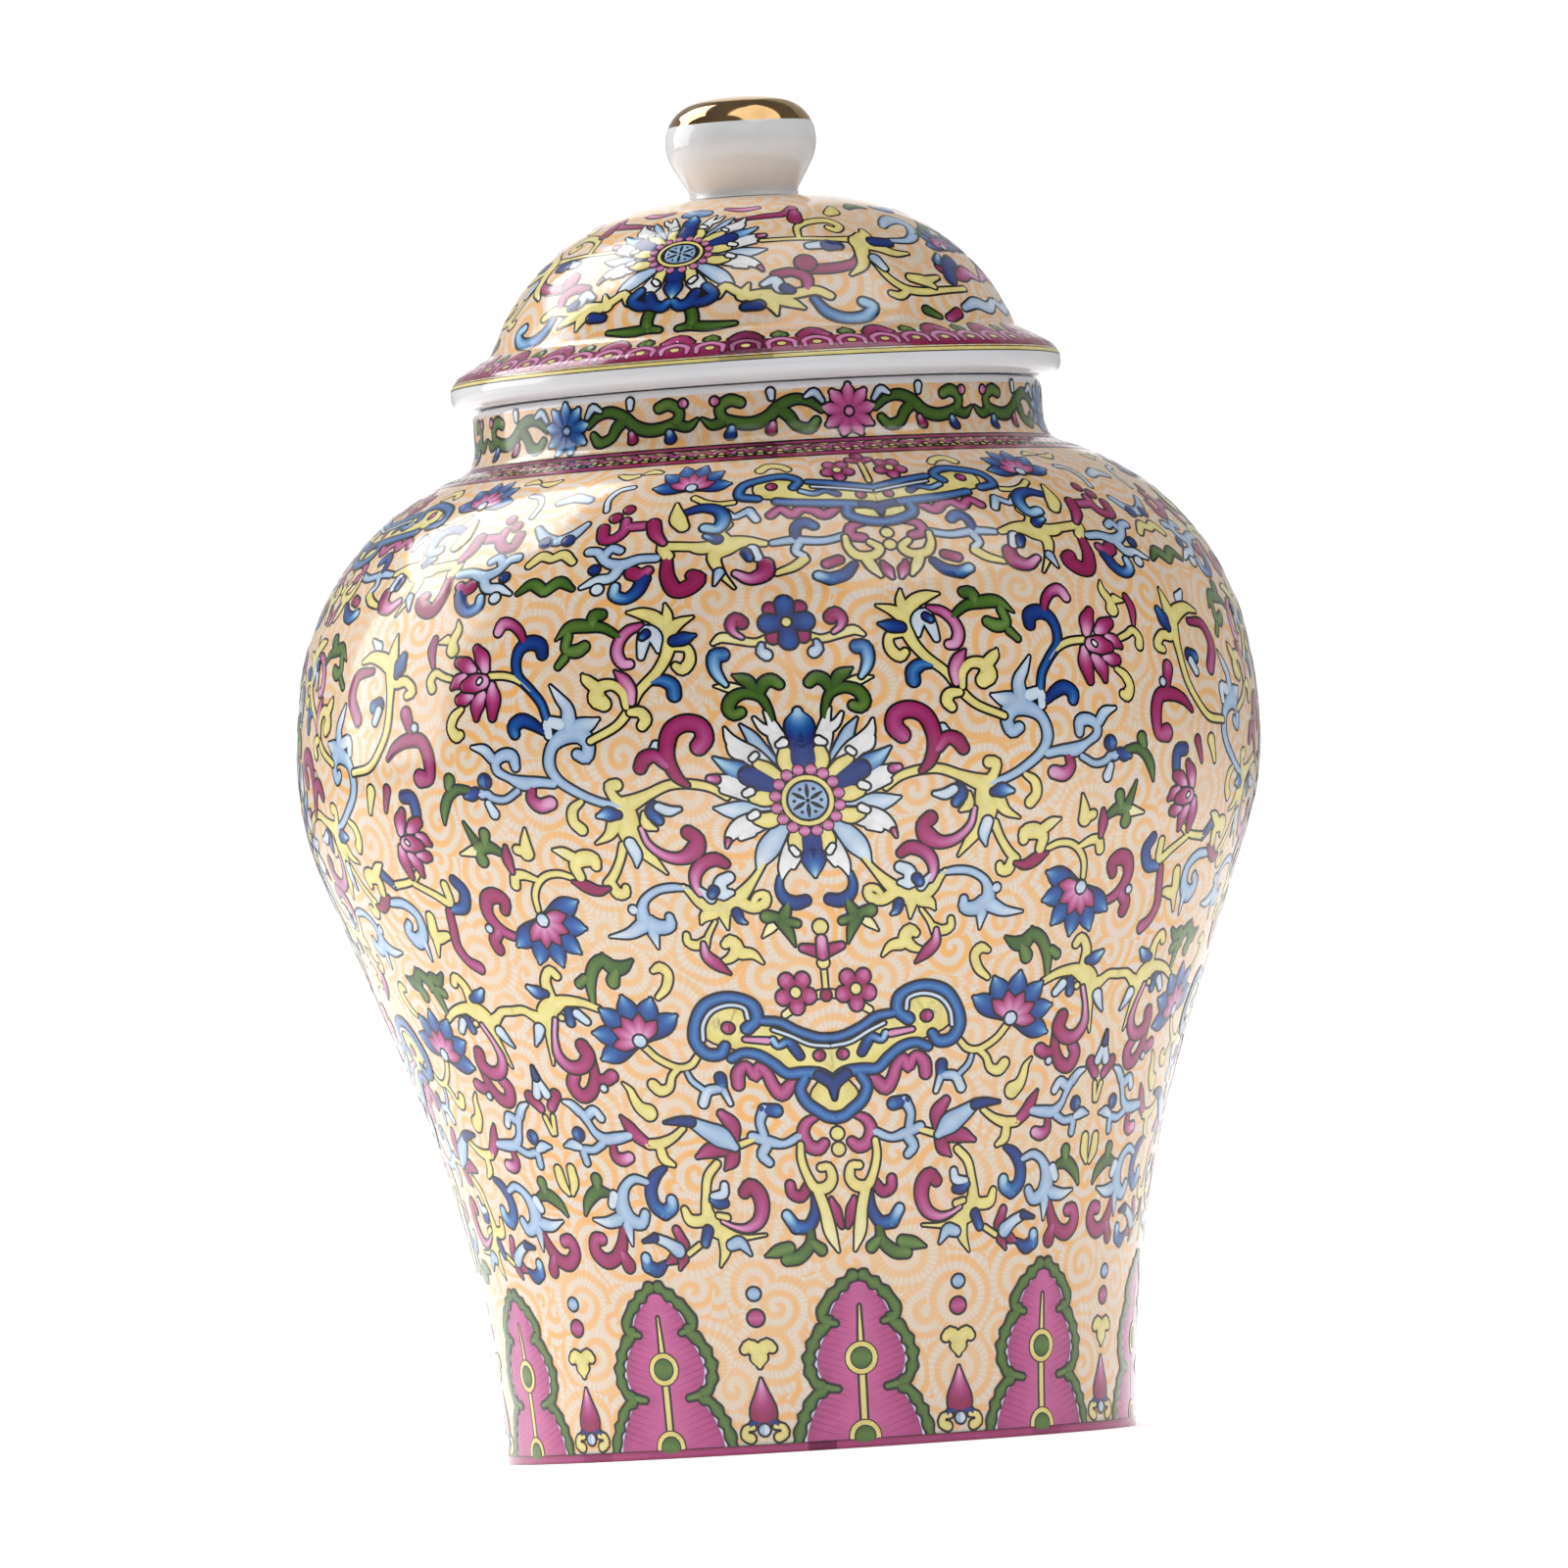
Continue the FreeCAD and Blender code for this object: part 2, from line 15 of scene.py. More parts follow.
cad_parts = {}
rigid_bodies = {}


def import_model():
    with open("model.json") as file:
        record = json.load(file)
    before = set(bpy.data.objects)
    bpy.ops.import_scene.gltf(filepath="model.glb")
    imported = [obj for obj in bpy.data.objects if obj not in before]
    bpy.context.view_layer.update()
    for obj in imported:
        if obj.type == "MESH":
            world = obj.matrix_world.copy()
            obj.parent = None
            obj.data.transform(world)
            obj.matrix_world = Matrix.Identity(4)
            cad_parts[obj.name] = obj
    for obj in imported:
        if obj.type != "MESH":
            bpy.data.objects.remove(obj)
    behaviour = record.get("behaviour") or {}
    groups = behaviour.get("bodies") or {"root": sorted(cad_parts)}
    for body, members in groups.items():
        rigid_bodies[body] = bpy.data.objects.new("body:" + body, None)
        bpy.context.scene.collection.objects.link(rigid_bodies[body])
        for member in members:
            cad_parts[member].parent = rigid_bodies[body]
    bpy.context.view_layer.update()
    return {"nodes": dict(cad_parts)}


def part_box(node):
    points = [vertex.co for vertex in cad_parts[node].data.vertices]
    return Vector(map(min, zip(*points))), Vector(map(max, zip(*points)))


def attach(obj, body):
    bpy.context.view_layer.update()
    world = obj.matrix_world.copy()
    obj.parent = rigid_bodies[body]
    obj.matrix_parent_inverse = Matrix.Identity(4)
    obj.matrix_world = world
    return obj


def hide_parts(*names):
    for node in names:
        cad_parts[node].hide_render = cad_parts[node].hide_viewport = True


MM = 0.001
for leftover in list(bpy.data.objects):
    bpy.data.objects.remove(leftover)
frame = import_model()


# ---------------------------------------------------------------- turned surfaces

def node_box(node):
    """Lowest and highest corners of a CAD node, in millimetres."""
    low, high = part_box(node)
    return Vector(low) / MM, Vector(high) / MM


JAR_LOW, JAR_HIGH = node_box("jar_body")
DOME_LOW, DOME_HIGH = node_box("lid_dome")

ENAMEL_ROOM = 0.26     # the glaze lies this far under the CAD surface, and the enamel fills it
WALL = 4.5
SEGMENTS = 288


def arc(centre, radius, start, end, step=2.0, tall=None):
    """Points on an arc of the (radius, height) plane, angles in degrees; tall makes it oval."""
    count = max(3, int(abs(end - start) / step) + 1)
    angles = np.radians(np.linspace(start, end, count))
    tall = radius if tall is None else tall
    return [(centre[0] + radius * cos(a), centre[1] + tall * sin(a)) for a in angles]


def line(start, end, step=2.0):
    """Points on a straight run."""
    count = max(2, int(hypot(end[0] - start[0], end[1] - start[1]) / step) + 1)
    return [(start[0] + (end[0] - start[0]) * t, start[1] + (end[1] - start[1]) * t)
            for t in np.linspace(0, 1, count)]


def bearing(centre, point):
    """Direction of a point seen from a centre, in degrees."""
    return degrees(atan2(point[1] - centre[1], point[0] - centre[0]))


def away(centre, radius, angle):
    """The point at a distance from a centre, in a direction given in degrees."""
    return (centre[0] + radius * cos(radians(angle)), centre[1] + radius * sin(radians(angle)))


def jar_wall(inset, bottom):
    """The jar's wall from its lower end to the neck's rim, some way inside the CAD surface."""
    belly, belly_height, haunch_height, flare_height = JAR_HIGH.x, 145.0, 163.7, 85.0
    lean, lower, upper, shoulder, flare, root = 20.5, 66.0, 98.8, 53.8, 270.0, 6.0
    neck = 59.2
    lower_centre = (belly - lower, belly_height)
    cone_top = away(lower_centre, lower, -lean)
    run = (cone_top[1] - flare_height) / cos(radians(lean))
    cone_foot = (cone_top[0] - run * sin(radians(lean)), flare_height)
    flare_centre = away(cone_foot, flare, -lean)
    flare_end = 180 + degrees(np.arcsin((flare_centre[1] - bottom) / (flare + inset)))
    rise = degrees(np.arcsin((haunch_height - belly_height) / upper))
    upper_centre = (belly - upper, belly_height)
    shoulder_centre = away(upper_centre, upper - shoulder, rise)
    offset = neck + root - shoulder_centre[0]
    root_centre = (neck + root, shoulder_centre[1] + sqrt((shoulder + root) ** 2 - offset ** 2))
    turn = bearing(shoulder_centre, root_centre)
    return (arc(flare_centre, flare + inset, flare_end, 180 - lean, 0.5)
            + line(away(cone_foot, -inset, -lean), away(cone_top, -inset, -lean))[1:]
            + arc(lower_centre, lower - inset, -lean, 0, 1.0)[1:]
            + arc(upper_centre, upper - inset, 0, rise, 1.0)[1:]
            + arc(shoulder_centre, shoulder - inset, rise, turn, 1.5)[1:]
            + arc(root_centre, root + inset, turn + 180, 180, 6.0)[1:]
            + line((neck - inset, root_centre[1]), (neck - inset, JAR_HIGH.z))[1:])


def lid_wall(inset):
    """The lid from its brim's widest place to the crown, some way inside the CAD surface."""
    brim, under, over, slope, root, dome, flat = DOME_HIGH.x, 3.2, 5.0, 30.0, 3.0, 44.8, 12.6
    over_centre = (brim - over, DOME_LOW.z + under)
    slope_top = away(over_centre, over, 90 - slope)
    dome_centre = (flat, DOME_HIGH.z - dome)
    start = Vector(away(slope_top, root, 90 - slope)) - Vector(dome_centre)
    along = Vector((-cos(radians(slope)), sin(radians(slope))))
    half = start.dot(along)
    run = -half - sqrt(half ** 2 - start.length_squared + (dome + root) ** 2)
    root_centre = Vector(dome_centre) + start + run * along
    turn = bearing(dome_centre, root_centre)
    slope_foot = away(root_centre, root + inset, 270 - slope)
    return (arc(over_centre, over - inset, 0, 90 - slope, 6.0)
            + line(away(slope_top, -inset, 90 - slope), slope_foot)[1:]
            + arc(root_centre, root + inset, 270 - slope, 180 + turn, 6.0)[1:]
            + arc(dome_centre, dome - inset, turn, 90, 1.5)[1:])


class Surface:
    """A turned surface that a sheet is laid on: s runs up its profile from the first point."""

    def __init__(self, profile):
        points = np.array(profile)
        steps = np.hypot(*np.diff(points, axis=0).T)
        self.s = np.concatenate(([0], np.cumsum(steps)))
        self.r, self.z = points.T
        slope_r, slope_z = np.gradient(self.r, self.s), np.gradient(self.z, self.s)
        size = np.hypot(slope_r, slope_z)
        self.out_r, self.out_z = slope_z / size, -slope_r / size

    def place(self, theta, s, lift):
        """Points in metres at an angle from the front, a height s and a lift off the glaze."""
        r = np.interp(s, self.s, self.r) + lift * np.interp(s, self.s, self.out_r)
        z = np.interp(s, self.s, self.z) + lift * np.interp(s, self.s, self.out_z)
        return np.stack([r * np.sin(theta), -r * np.cos(theta), z], axis=-1) * MM


JAR = Surface(jar_wall(ENAMEL_ROOM, JAR_LOW.z))
LID = Surface(lid_wall(ENAMEL_ROOM))


# ---------------------------------------------------------------- brush strokes

# colour of each enamel when deep, plain and pale, sRGB
ENAMELS = {
    "yellow": ((0.87, 0.78, 0.40), (0.94, 0.88, 0.52), (0.97, 0.94, 0.74)),
    "magenta": ((0.58, 0.06, 0.30), (0.69, 0.22, 0.48), (0.91, 0.66, 0.82)),
    "blue": ((0.01, 0.13, 0.45), (0.06, 0.34, 0.65), (0.68, 0.84, 0.95)),
    "sky": ((0.42, 0.56, 0.76), (0.64, 0.76, 0.89), (0.86, 0.91, 0.96)),
    "green": ((0.20, 0.34, 0.06), (0.34, 0.48, 0.17), (0.58, 0.68, 0.42)),
    "white": ((0.80, 0.80, 0.80), (0.91, 0.91, 0.92), (0.97, 0.97, 0.97)),
    "pink": ((0.62, 0.18, 0.42), (0.78, 0.33, 0.58), (0.90, 0.62, 0.78)),
    "outline": ((0.02, 0.02, 0.03), (0.03, 0.03, 0.04), (0.05, 0.05, 0.07)),
}
OUTLINE_WIDTH = 0.5    # how far the dark outline shows round a stroke
GLAZE_GAP = 0.02       # lift of the lowest enamel off the glaze
LEVEL_STEP = 0.05      # lift from one painted level to the next
FILL_STEP = 0.015      # lift from an outline to the colour on it
CROWN = 0.025          # how much higher a stroke is along its middle
SHADE = 0.42           # how much paler a stroke is along its middle
SAMPLE = 0.7           # length of the facets along a stroke
FACET = 1.0            # width of the facets across a stroke


def linear(channel):
    """sRGB to linear."""
    channel = np.asarray(channel, dtype=float)
    return np.where(channel <= 0.04045, channel / 12.92, ((channel + 0.055) / 1.055) ** 2.4)


def smooth_path(points):
    """A rounded run through the control points, evenly sampled: x, s, half width, tone."""
    points = np.asarray(points, dtype=float)
    gaps = np.hypot(*np.diff(points[:, :2], axis=0).T)
    knots = np.concatenate(([0], np.cumsum(np.sqrt(np.maximum(gaps, 1e-3)))))
    padded = np.vstack([2 * points[0] - points[1], points, 2 * points[-1] - points[-2]])
    times = np.concatenate(([knots[0] - knots[1]], knots, [2 * knots[-1] - knots[-2]]))
    rows = []
    for i in range(1, len(points)):
        a, b, c, d = padded[i - 1:i + 3]
        ta, tb, tc, td = times[i - 1:i + 3]
        slope_b = (tc - tb) * ((b - a) / (tb - ta) - (c - a) / (tc - ta) + (c - b) / (tc - tb))
        slope_c = (tc - tb) * ((c - b) / (tc - tb) - (d - b) / (td - tb) + (d - c) / (td - tc))
        count = max(2, int(ceil(gaps[i - 1] / SAMPLE)))
        t = (np.arange(count) / count)[:, None]
        rows.append((2 * t ** 3 - 3 * t ** 2 + 1) * b + (t ** 3 - 2 * t ** 2 + t) * slope_b
                    + (3 * t ** 2 - 2 * t ** 3) * c + (t ** 3 - t ** 2) * slope_c)
    rows = np.vstack(rows + [points[-1:]])
    rows[:, 2] = np.maximum(rows[:, 2], 0)
    return rows


CAP = np.array([1.0, 0.94, 0.8, 0.56, 0.28])


def ribbon(path, grow, flat):
    """A grid of sheet points that covers a stroke, along and across it: x, s and tone."""
    spots = path.copy()
    spots[:, 2] += grow
    step = np.gradient(spots[:, :2], axis=0)
    size = np.maximum(np.hypot(*step.T), 1e-9)[:, None]
    along = step / size
    ends = []
    for row, direction, reach in ((0, -1, CAP), (-1, 1, CAP[::-1])):
        width = spots[row, 2]
        cap = np.repeat(spots[row][None], len(reach), axis=0)
        cap[:, :2] += direction * along[row] * (reach * width)[:, None]
        cap[:, 2] = width * np.sqrt(1 - reach ** 2)
        ends.append((cap, np.repeat(along[row][None], len(reach), axis=0)))
    if not flat:
        spots = np.vstack([ends[0][0], spots, ends[1][0]])
        along = np.vstack([ends[0][1], along, ends[1][1]])
    left = np.stack([-along[:, 1], along[:, 0]], axis=1)
    half = max(1, int(ceil(spots[:, 2].max() / FACET)))
    across = np.linspace(-1, 1, 2 * half + 1)
    grid = np.empty((len(spots), len(across), 3))
    grid[..., :2] = (spots[:, None, :2]
                     + left[:, None] * (spots[:, 2, None] * across[None])[..., None])
    grid[..., 2] = spots[:, 3, None]
    return grid


class Painting:
    """Strokes on one flat sheet, before the sheet is repeated around the jar."""

    def __init__(self):
        self.strokes = []
        self.home()

    def home(self):
        self.at(0, 0)

    def at(self, x, s, size=1.0, spread=1.0):
        """Draw the next strokes from here; spread widens them, and -1 mirrors them."""
        self.place, self.size, self.spread = (x, s), size, spread

    def stroke(self, enamel, spots, tone=(0.5, 0.5), level=0, edge=OUTLINE_WIDTH, flat=False):
        """One brush stroke through (x, s, half width) spots; flat leaves its ends square."""
        spots = np.array(spots, dtype=float)
        if len(spots) == 1:
            spots = spots + np.array([[-0.01, 0, 0], [0.01, 0, 0]])
        spots *= self.size
        spots[:, 0] = spots[:, 0] * self.spread + self.place[0]
        spots[:, 1] += self.place[1]
        tones = np.linspace(tone[0], tone[1], len(spots))
        path = smooth_path(np.column_stack([spots, tones]))
        self.strokes.append((enamel, path, level, edge, flat))

    def table(self, rows):
        """Strokes from lines of: enamel, first and last tone, level, then x,s,half-width spots.

        A line that starts with spaces goes on with the stroke of the line before.
        """
        for row in rows.strip().replace("\n  ", " ").splitlines():
            enamel, tones, level, *spots = row.split()
            tone = (TONES[tones[0]], TONES[tones[-1]])
            self.stroke(enamel, [[float(n) for n in spot.split(",")] for spot in spots],
                        tone, int(level))

    def dot(self, enamel, x, s, radius, tone=0.5, level=0, edge=OUTLINE_WIDTH):
        """A round spot of one even tone."""
        self.stroke(enamel, [(x, s, radius)], (tone, tone), level, edge)

    def petal(self, enamel, angle, near, far, width, tone, level):
        """A pointed petal out from the present place, at an angle from upright."""
        across, up = sin(radians(angle)), cos(radians(angle))
        shape = ((near, 0.55), (near + 0.35 * (far - near), 0.95),
                 (near + 0.62 * (far - near), 1.0), (near + 0.85 * (far - near), 0.62), (far, 0.1))
        self.stroke(enamel, [(across * reach, up * reach, width * share) for reach, share in shape],
                    tone, level)


TONES = {"d": 0.0, "m": 0.5, "p": 1.0}


class Skin:
    """Vertices and faces of one enamel of a painting."""

    def __init__(self):
        self.vertices, self.colours, self.faces, self.uvs, self.count = [], [], [], [], 0

    def add(self, places, colours, uvs, flip):
        rows, columns = places.shape[:2]
        index = self.count + np.arange(rows * columns).reshape(rows, columns)
        quads = np.stack([index[:-1, :-1], index[1:, :-1], index[1:, 1:], index[:-1, 1:]], -1)
        quads = quads.reshape(-1, 4)
        self.vertices.append(places.reshape(-1, 3))
        self.colours.append(colours.reshape(-1, 3))
        self.uvs.append(uvs.reshape(-1, 2))
        self.faces.append(quads if flip else quads[:, ::-1])
        self.count += rows * columns


def make_piece(name, vertices, faces, uvs, material, body, colours=None):
    """A smooth mesh object of quads that rides on a body."""
    mesh = bpy.data.meshes.new(name)
    corners = np.ascontiguousarray(faces, dtype=np.int32).ravel()
    mesh.vertices.add(len(vertices))
    mesh.vertices.foreach_set("co", np.ascontiguousarray(vertices, dtype=np.float32).ravel())
    mesh.loops.add(len(corners))
    mesh.loops.foreach_set("vertex_index", corners)
    mesh.polygons.add(len(faces))
    mesh.polygons.foreach_set("loop_start", np.arange(0, len(corners), 4, dtype=np.int32))
    mesh.polygons.foreach_set("use_smooth", np.ones(len(faces), dtype=bool))
    mesh.update(calc_edges=True)
    layer = mesh.uv_layers.new(name="OFBake")
    layer.data.foreach_set("uv", np.ascontiguousarray(uvs[corners], dtype=np.float32).ravel())
    if colours is not None:
        layer = mesh.color_attributes.new("enamel", "FLOAT_COLOR", "POINT")
        rgba = np.ones((len(vertices), 4), dtype=np.float32)
        rgba[:, :3] = colours
        layer.data.foreach_set("color", rgba.ravel())
    piece = bpy.data.objects.new(name, mesh)
    bpy.context.scene.collection.objects.link(piece)
    mesh.materials.append(material)
    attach(piece, body)
    return piece


def lay(painting, surface, name, body, radius, centres, copies=((1, 0),), bend=None,
        lean=0.0, pivot=0.0):
    """Lay a painting on a surface, mirrored about each of the centre angles.

    radius turns x into an angle, which bend squeezes; copies lists (sign, shift) for x; lean is
    the angle by which the transfer lies out of upright, for each millimetre of s above pivot.
    """
    skins = {}
    low, high = surface.s[0], surface.s[-1]
    for enamel, path, level, edge, flat in painting.strokes:
        sides = (1,) if np.abs(path[:, 0]).max() < 0.02 else (1, -1)
        for filled, layer, grow in ((False, "outline", edge), (True, enamel, 0.0)):
            if not filled and edge == 0:
                continue
            grid = ribbon(path, grow, flat)
            across = np.linspace(-1, 1, grid.shape[1])[None]
            s = np.clip(grid[..., 1], low, high)
            lift = GLAZE_GAP + level * LEVEL_STEP
            if filled:
                lift = lift + FILL_STEP + CROWN * (1 - across ** 2)
            ramp = np.array(ENAMELS[layer])
            tone = np.clip(grid[..., 2] + SHADE * (0.4 - across ** 2), 0, 1)
            colours = np.stack([linear(np.interp(tone, (0, 0.5, 1), ramp[:, k]))
                                for k in range(3)], axis=-1)
            for sign, shift in copies:
                angle = np.degrees((sign * grid[..., 0] + shift) / radius)
                if bend is not None:
                    angle = np.interp(angle, *bend)
                for centre in centres:
                    for side in sides:
                        tilt = lean * (grid[..., 1] - pivot)
                        theta = np.radians(centre + tilt + side * angle)
                        places = surface.place(theta, s, lift)
                        u = theta / (2 * pi) + 0.5
                        u = np.clip(u - np.floor(u.mean()), 0, 1)
                        uvs = np.stack([u, (s - low) / (high - low)], axis=-1)
                        skins.setdefault(layer, Skin()).add(places, colours, uvs,
                                                            side * sign < 0)
    for layer, skin in skins.items():
        make_piece(f"{name}_{layer}", np.vstack(skin.vertices), np.vstack(skin.faces),
                   np.vstack(skin.uvs), enamel_materials[layer], body,
                   np.vstack(skin.colours))


def revolve(name, profile, material, body, low=-180, high=180):
    """A smooth turned piece from a (radius, height) profile in millimetres, outside to the right."""
    points = np.array([p for p, before in zip(profile, [(-1, 0)] + profile[:-1])
                       if hypot(p[0] - before[0], p[1] - before[1]) > 1e-4])
    columns = int(SEGMENTS * (high - low) / 360) + 1
    theta = np.radians(np.linspace(low, high, columns))
    r, z = points[:, 0][:, None], points[:, 1][:, None]
    places = np.stack([r * np.sin(theta), -r * np.cos(theta), z + 0 * theta], -1) * MM
    travel = np.concatenate(([0], np.cumsum(np.hypot(*np.diff(points, axis=0).T))))
    u, v = np.meshgrid(np.linspace(0, 1, columns), travel / travel[-1])
    index = np.arange(places.shape[0] * columns).reshape(-1, columns)
    quads = np.stack([index[:-1, :-1], index[:-1, 1:], index[1:, 1:], index[1:, :-1]], -1)
    piece = make_piece(name, places.reshape(-1, 3), quads.reshape(-1, 4),
                       np.stack([u, v], -1).reshape(-1, 2), material, body)
    slope = np.gradient(points, travel, axis=0)
    slope /= np.hypot(*slope.T)[:, None]
    out_r, out_z = slope[:, 1][:, None], -slope[:, 0][:, None]
    normals = np.stack([out_r * np.sin(theta), -out_r * np.cos(theta), out_z + 0 * theta], -1)
    piece.data.normals_split_custom_set_from_vertices(normals.reshape(-1, 3))
    return piece


# ---------------------------------------------------------------- flowers

def quatrefoil(sheet, s):
    """Four blue lobes and four magenta buds on the middle line; the right half, mirrored."""
    sheet.at(0, s)
    for angle in (45, 135):
        across, up = 4.2 * sin(radians(angle)), 4.2 * cos(radians(angle))
        sheet.dot("magenta", across, up, 1.3, 0.1, 1)
    for angle in (0, 90, 180):
        across, up = sin(radians(angle)), cos(radians(angle))
        sheet.stroke("blue", [(1.6 * across, 1.6 * up, 1.5), (3.7 * across, 3.7 * up, 1.85)],
                     (0.0, 0.3), 2)
    sheet.dot("yellow", 0, 0, 0.85, 0.6, 3)
    sheet.home()


def blossom(sheet, enamel, x, s, radius, tone=(0.1, 0.9)):
    """A small open flower of five round lobes with a yellow eye."""
    sheet.at(x, s, radius / 3.0)
    for k in range(5):
        angle = radians(72 * (k + 0.5))
        across, up = sin(angle), cos(angle)
        sheet.stroke(enamel, [(1.2 * across, 1.2 * up, 1.1), (2.6 * across, 2.6 * up, 1.35)], tone, 1)
    sheet.dot("yellow", 0, 0, 0.9, 0.6, 2)
    sheet.home()


def daisy(sheet, enamel, s):
    """A flower of nine narrow petals on the middle line; the right half is drawn, and mirrored."""
    sheet.at(0, s)
    for angle in (0, 40, 80, 120, 160):
        across, up = sin(radians(angle)), cos(radians(angle))
        sheet.stroke(enamel, [(reach * across, reach * up, width) for reach, width in
                              ((1.0, 0.8), (3.2, 1.15), (4.5, 1.1), (5.3, 0.5))], (0.2, 0.95), 1)
    sheet.dot(enamel, 0, 0, 0.8, 0.9, 2)
    sheet.home()


def lotus(sheet, x, s, facing, size=1.0):
    """A blue lotus with a magenta heart, open towards an angle from upright."""
    sheet.at(x, s, size)
    for k in range(6):
        sheet.petal("blue", facing + 34 * (k - 2.5), 2.0, 10.2, 2.05, (0.0, 0.75), 1)
    for k in range(5):
        sheet.petal("magenta", facing + 36 * (k - 2), 0.8, 6.0, 1.35, (0.9, 0.2), 2)
    sheet.dot("sky", 0, 0, 1.3, 0.8, 3)
    for angle in (facing - 60, facing, facing + 60):
        across, up = sin(radians(angle)), cos(radians(angle))
        sheet.dot("white", across, up, 0.3, 0.9, 3, 0)
    sheet.home()


def medallion(sheet, s, size=1.0, spread=1.0):
    """The big flower of white, blue and yellow petals round a beaded disc; one half, mirrored."""
    sheet.at(0, s, size, spread)
    sheet.table("""
sky mm 0 3.2,4.2,.9 5.8,7.6,1.1 8.3,11.2,1.3 9.6,13.6,1 11.4,16,.1
sky mp 0 5,-.4,1 9,-1,1.3 13.8,-1.2,1.7 16.4,-.9,1.1 18.6,-.4,.1
sky mp 0 4,-4.2,1.1 7.2,-7.4,1.9 9.2,-9.8,2 10.6,-11.8,1.3 11.8,-13.8,.1
white mp 1 3.2,7.6,1.3 3.8,11.2,1.8 4.8,13.6,1.5 5.2,15.6,.9 6.4,18.4,.1
white mp 1 5.2,14.2,1.1 7.2,15.2,.7 8.6,17.2,.2
white mp 1 6.2,6.2,1.2 9.8,9.6,1.7 12.2,11.4,1.5 13.8,13.4,.9 14.6,15.6,.1
white mp 1 11,10,1.2 13.4,10.6,.8 14.2,12,.3
white mp 1 9,1.4,1.3 12.6,3,1.9 15.2,4.4,1.7 17.4,5.4,.9
white mp 1 14,2.6,1 16.4,3.2,.6
white mp 1 8,-3.2,1.3 11.4,-4,2 14,-4.6,1.7 16.2,-6.2,1 17.2,-7.8,.3
white mp 1 12.2,-5.6,1.2 14.2,-6.8,.5
white mp 1 3.4,-7.6,1.3 4.2,-10.4,1.9 5.4,-12.4,1.6 6.4,-14,1 7,-16,.2
white mp 1 3.6,-11.4,1.2 4.4,-13.6,.5
blue dd 2 5.4,2.6,1.4 8.6,4.6,2.1 11.2,5.8,1.7
blue mp 1 10.4,5.6,1.8 13,6.8,1.9 15,8,1.2 17.4,9.8,.1
blue dd 2 0,6.4,2.3 0,9.4,2.6 0,12,2
blue dp 2 0,12,2.1 0,14.4,2.8 0,16.6,2.3 0,18,.8
blue dd 2 0,-6.2,2.3 0,-8.8,2.4 0,-10.6,1.7
blue dp 2 0,-10.6,1.8 0,-12.4,2.3 0,-14.6,1.3 0,-16,.2
yellow mm 2 2.6,5.6,.9 3.7,8.2,1.3 3.4,10,1.1
yellow mm 2 4.8,4.8,.9 7.2,6.8,1.2 9,8,.8
yellow mm 2 6,.8,1 8.6,1,1.5 10.4,1.3,1.1
yellow mm 2 5.6,-2.8,1 8.4,-3.6,1.5 10.2,-3.2,1.1
yellow mm 2 2.6,-5.8,1 3.3,-8.4,1.4 3.1,-10,1
white pp 3 4.4,11.6,.5 3.4,12,.8
white pp 3 9.9,9.2,.5 9.2,9.8,.5
white pp 3 12,2.2,.6 11,2.6,.7
white pp 3 11.6,-2.6,.6 10.6,-2.1,.7
white pp 3 4.1,-9.8,.5 3.4,-10.8,.6
magenta mp 2 17.6,5.5,.8 18.8,5.7,.5
magenta mp 2 16.9,-7.3,.5 17.4,-8.6,.1
""")
    for k in range(16):
        angle = radians(22.5 * (k + 0.5))
        if sin(angle) > 0:
            sheet.dot("magenta", 6.4 * sin(angle), 6.4 * cos(angle), 1.05, 0.72, 3, 0.25)
    ring = [(4.75 * sin(radians(a)), 4.75 * cos(radians(a)), 0.42) for a in range(0, 181, 20)]
    sheet.dot("sky", 0, 0, 4.6, 0.35, 2)
    sheet.stroke("yellow", ring, (0.5, 0.5), 3)
    for angle in (0, 60, 120, 180):
        across, up = sin(radians(angle)), cos(radians(angle))
        sheet.stroke("outline", [(0.9 * across, 0.9 * up, 0.28), (2.0 * across, 2.0 * up, 0.45),
                                 (3.3 * across, 3.3 * up, 0.2)], (0.5, 0.5), 3, 0)
    for angle in (30, 90, 150):
        across, up = sin(radians(angle)), cos(radians(angle))
        sheet.dot("outline", 2.7 * across, 2.7 * up, 0.36, 0.5, 3, 0)
    sheet.dot("outline", 0, 0, 0.45, 0.5, 3, 0)
    sheet.home()


# ---------------------------------------------------------------- belly painting, front

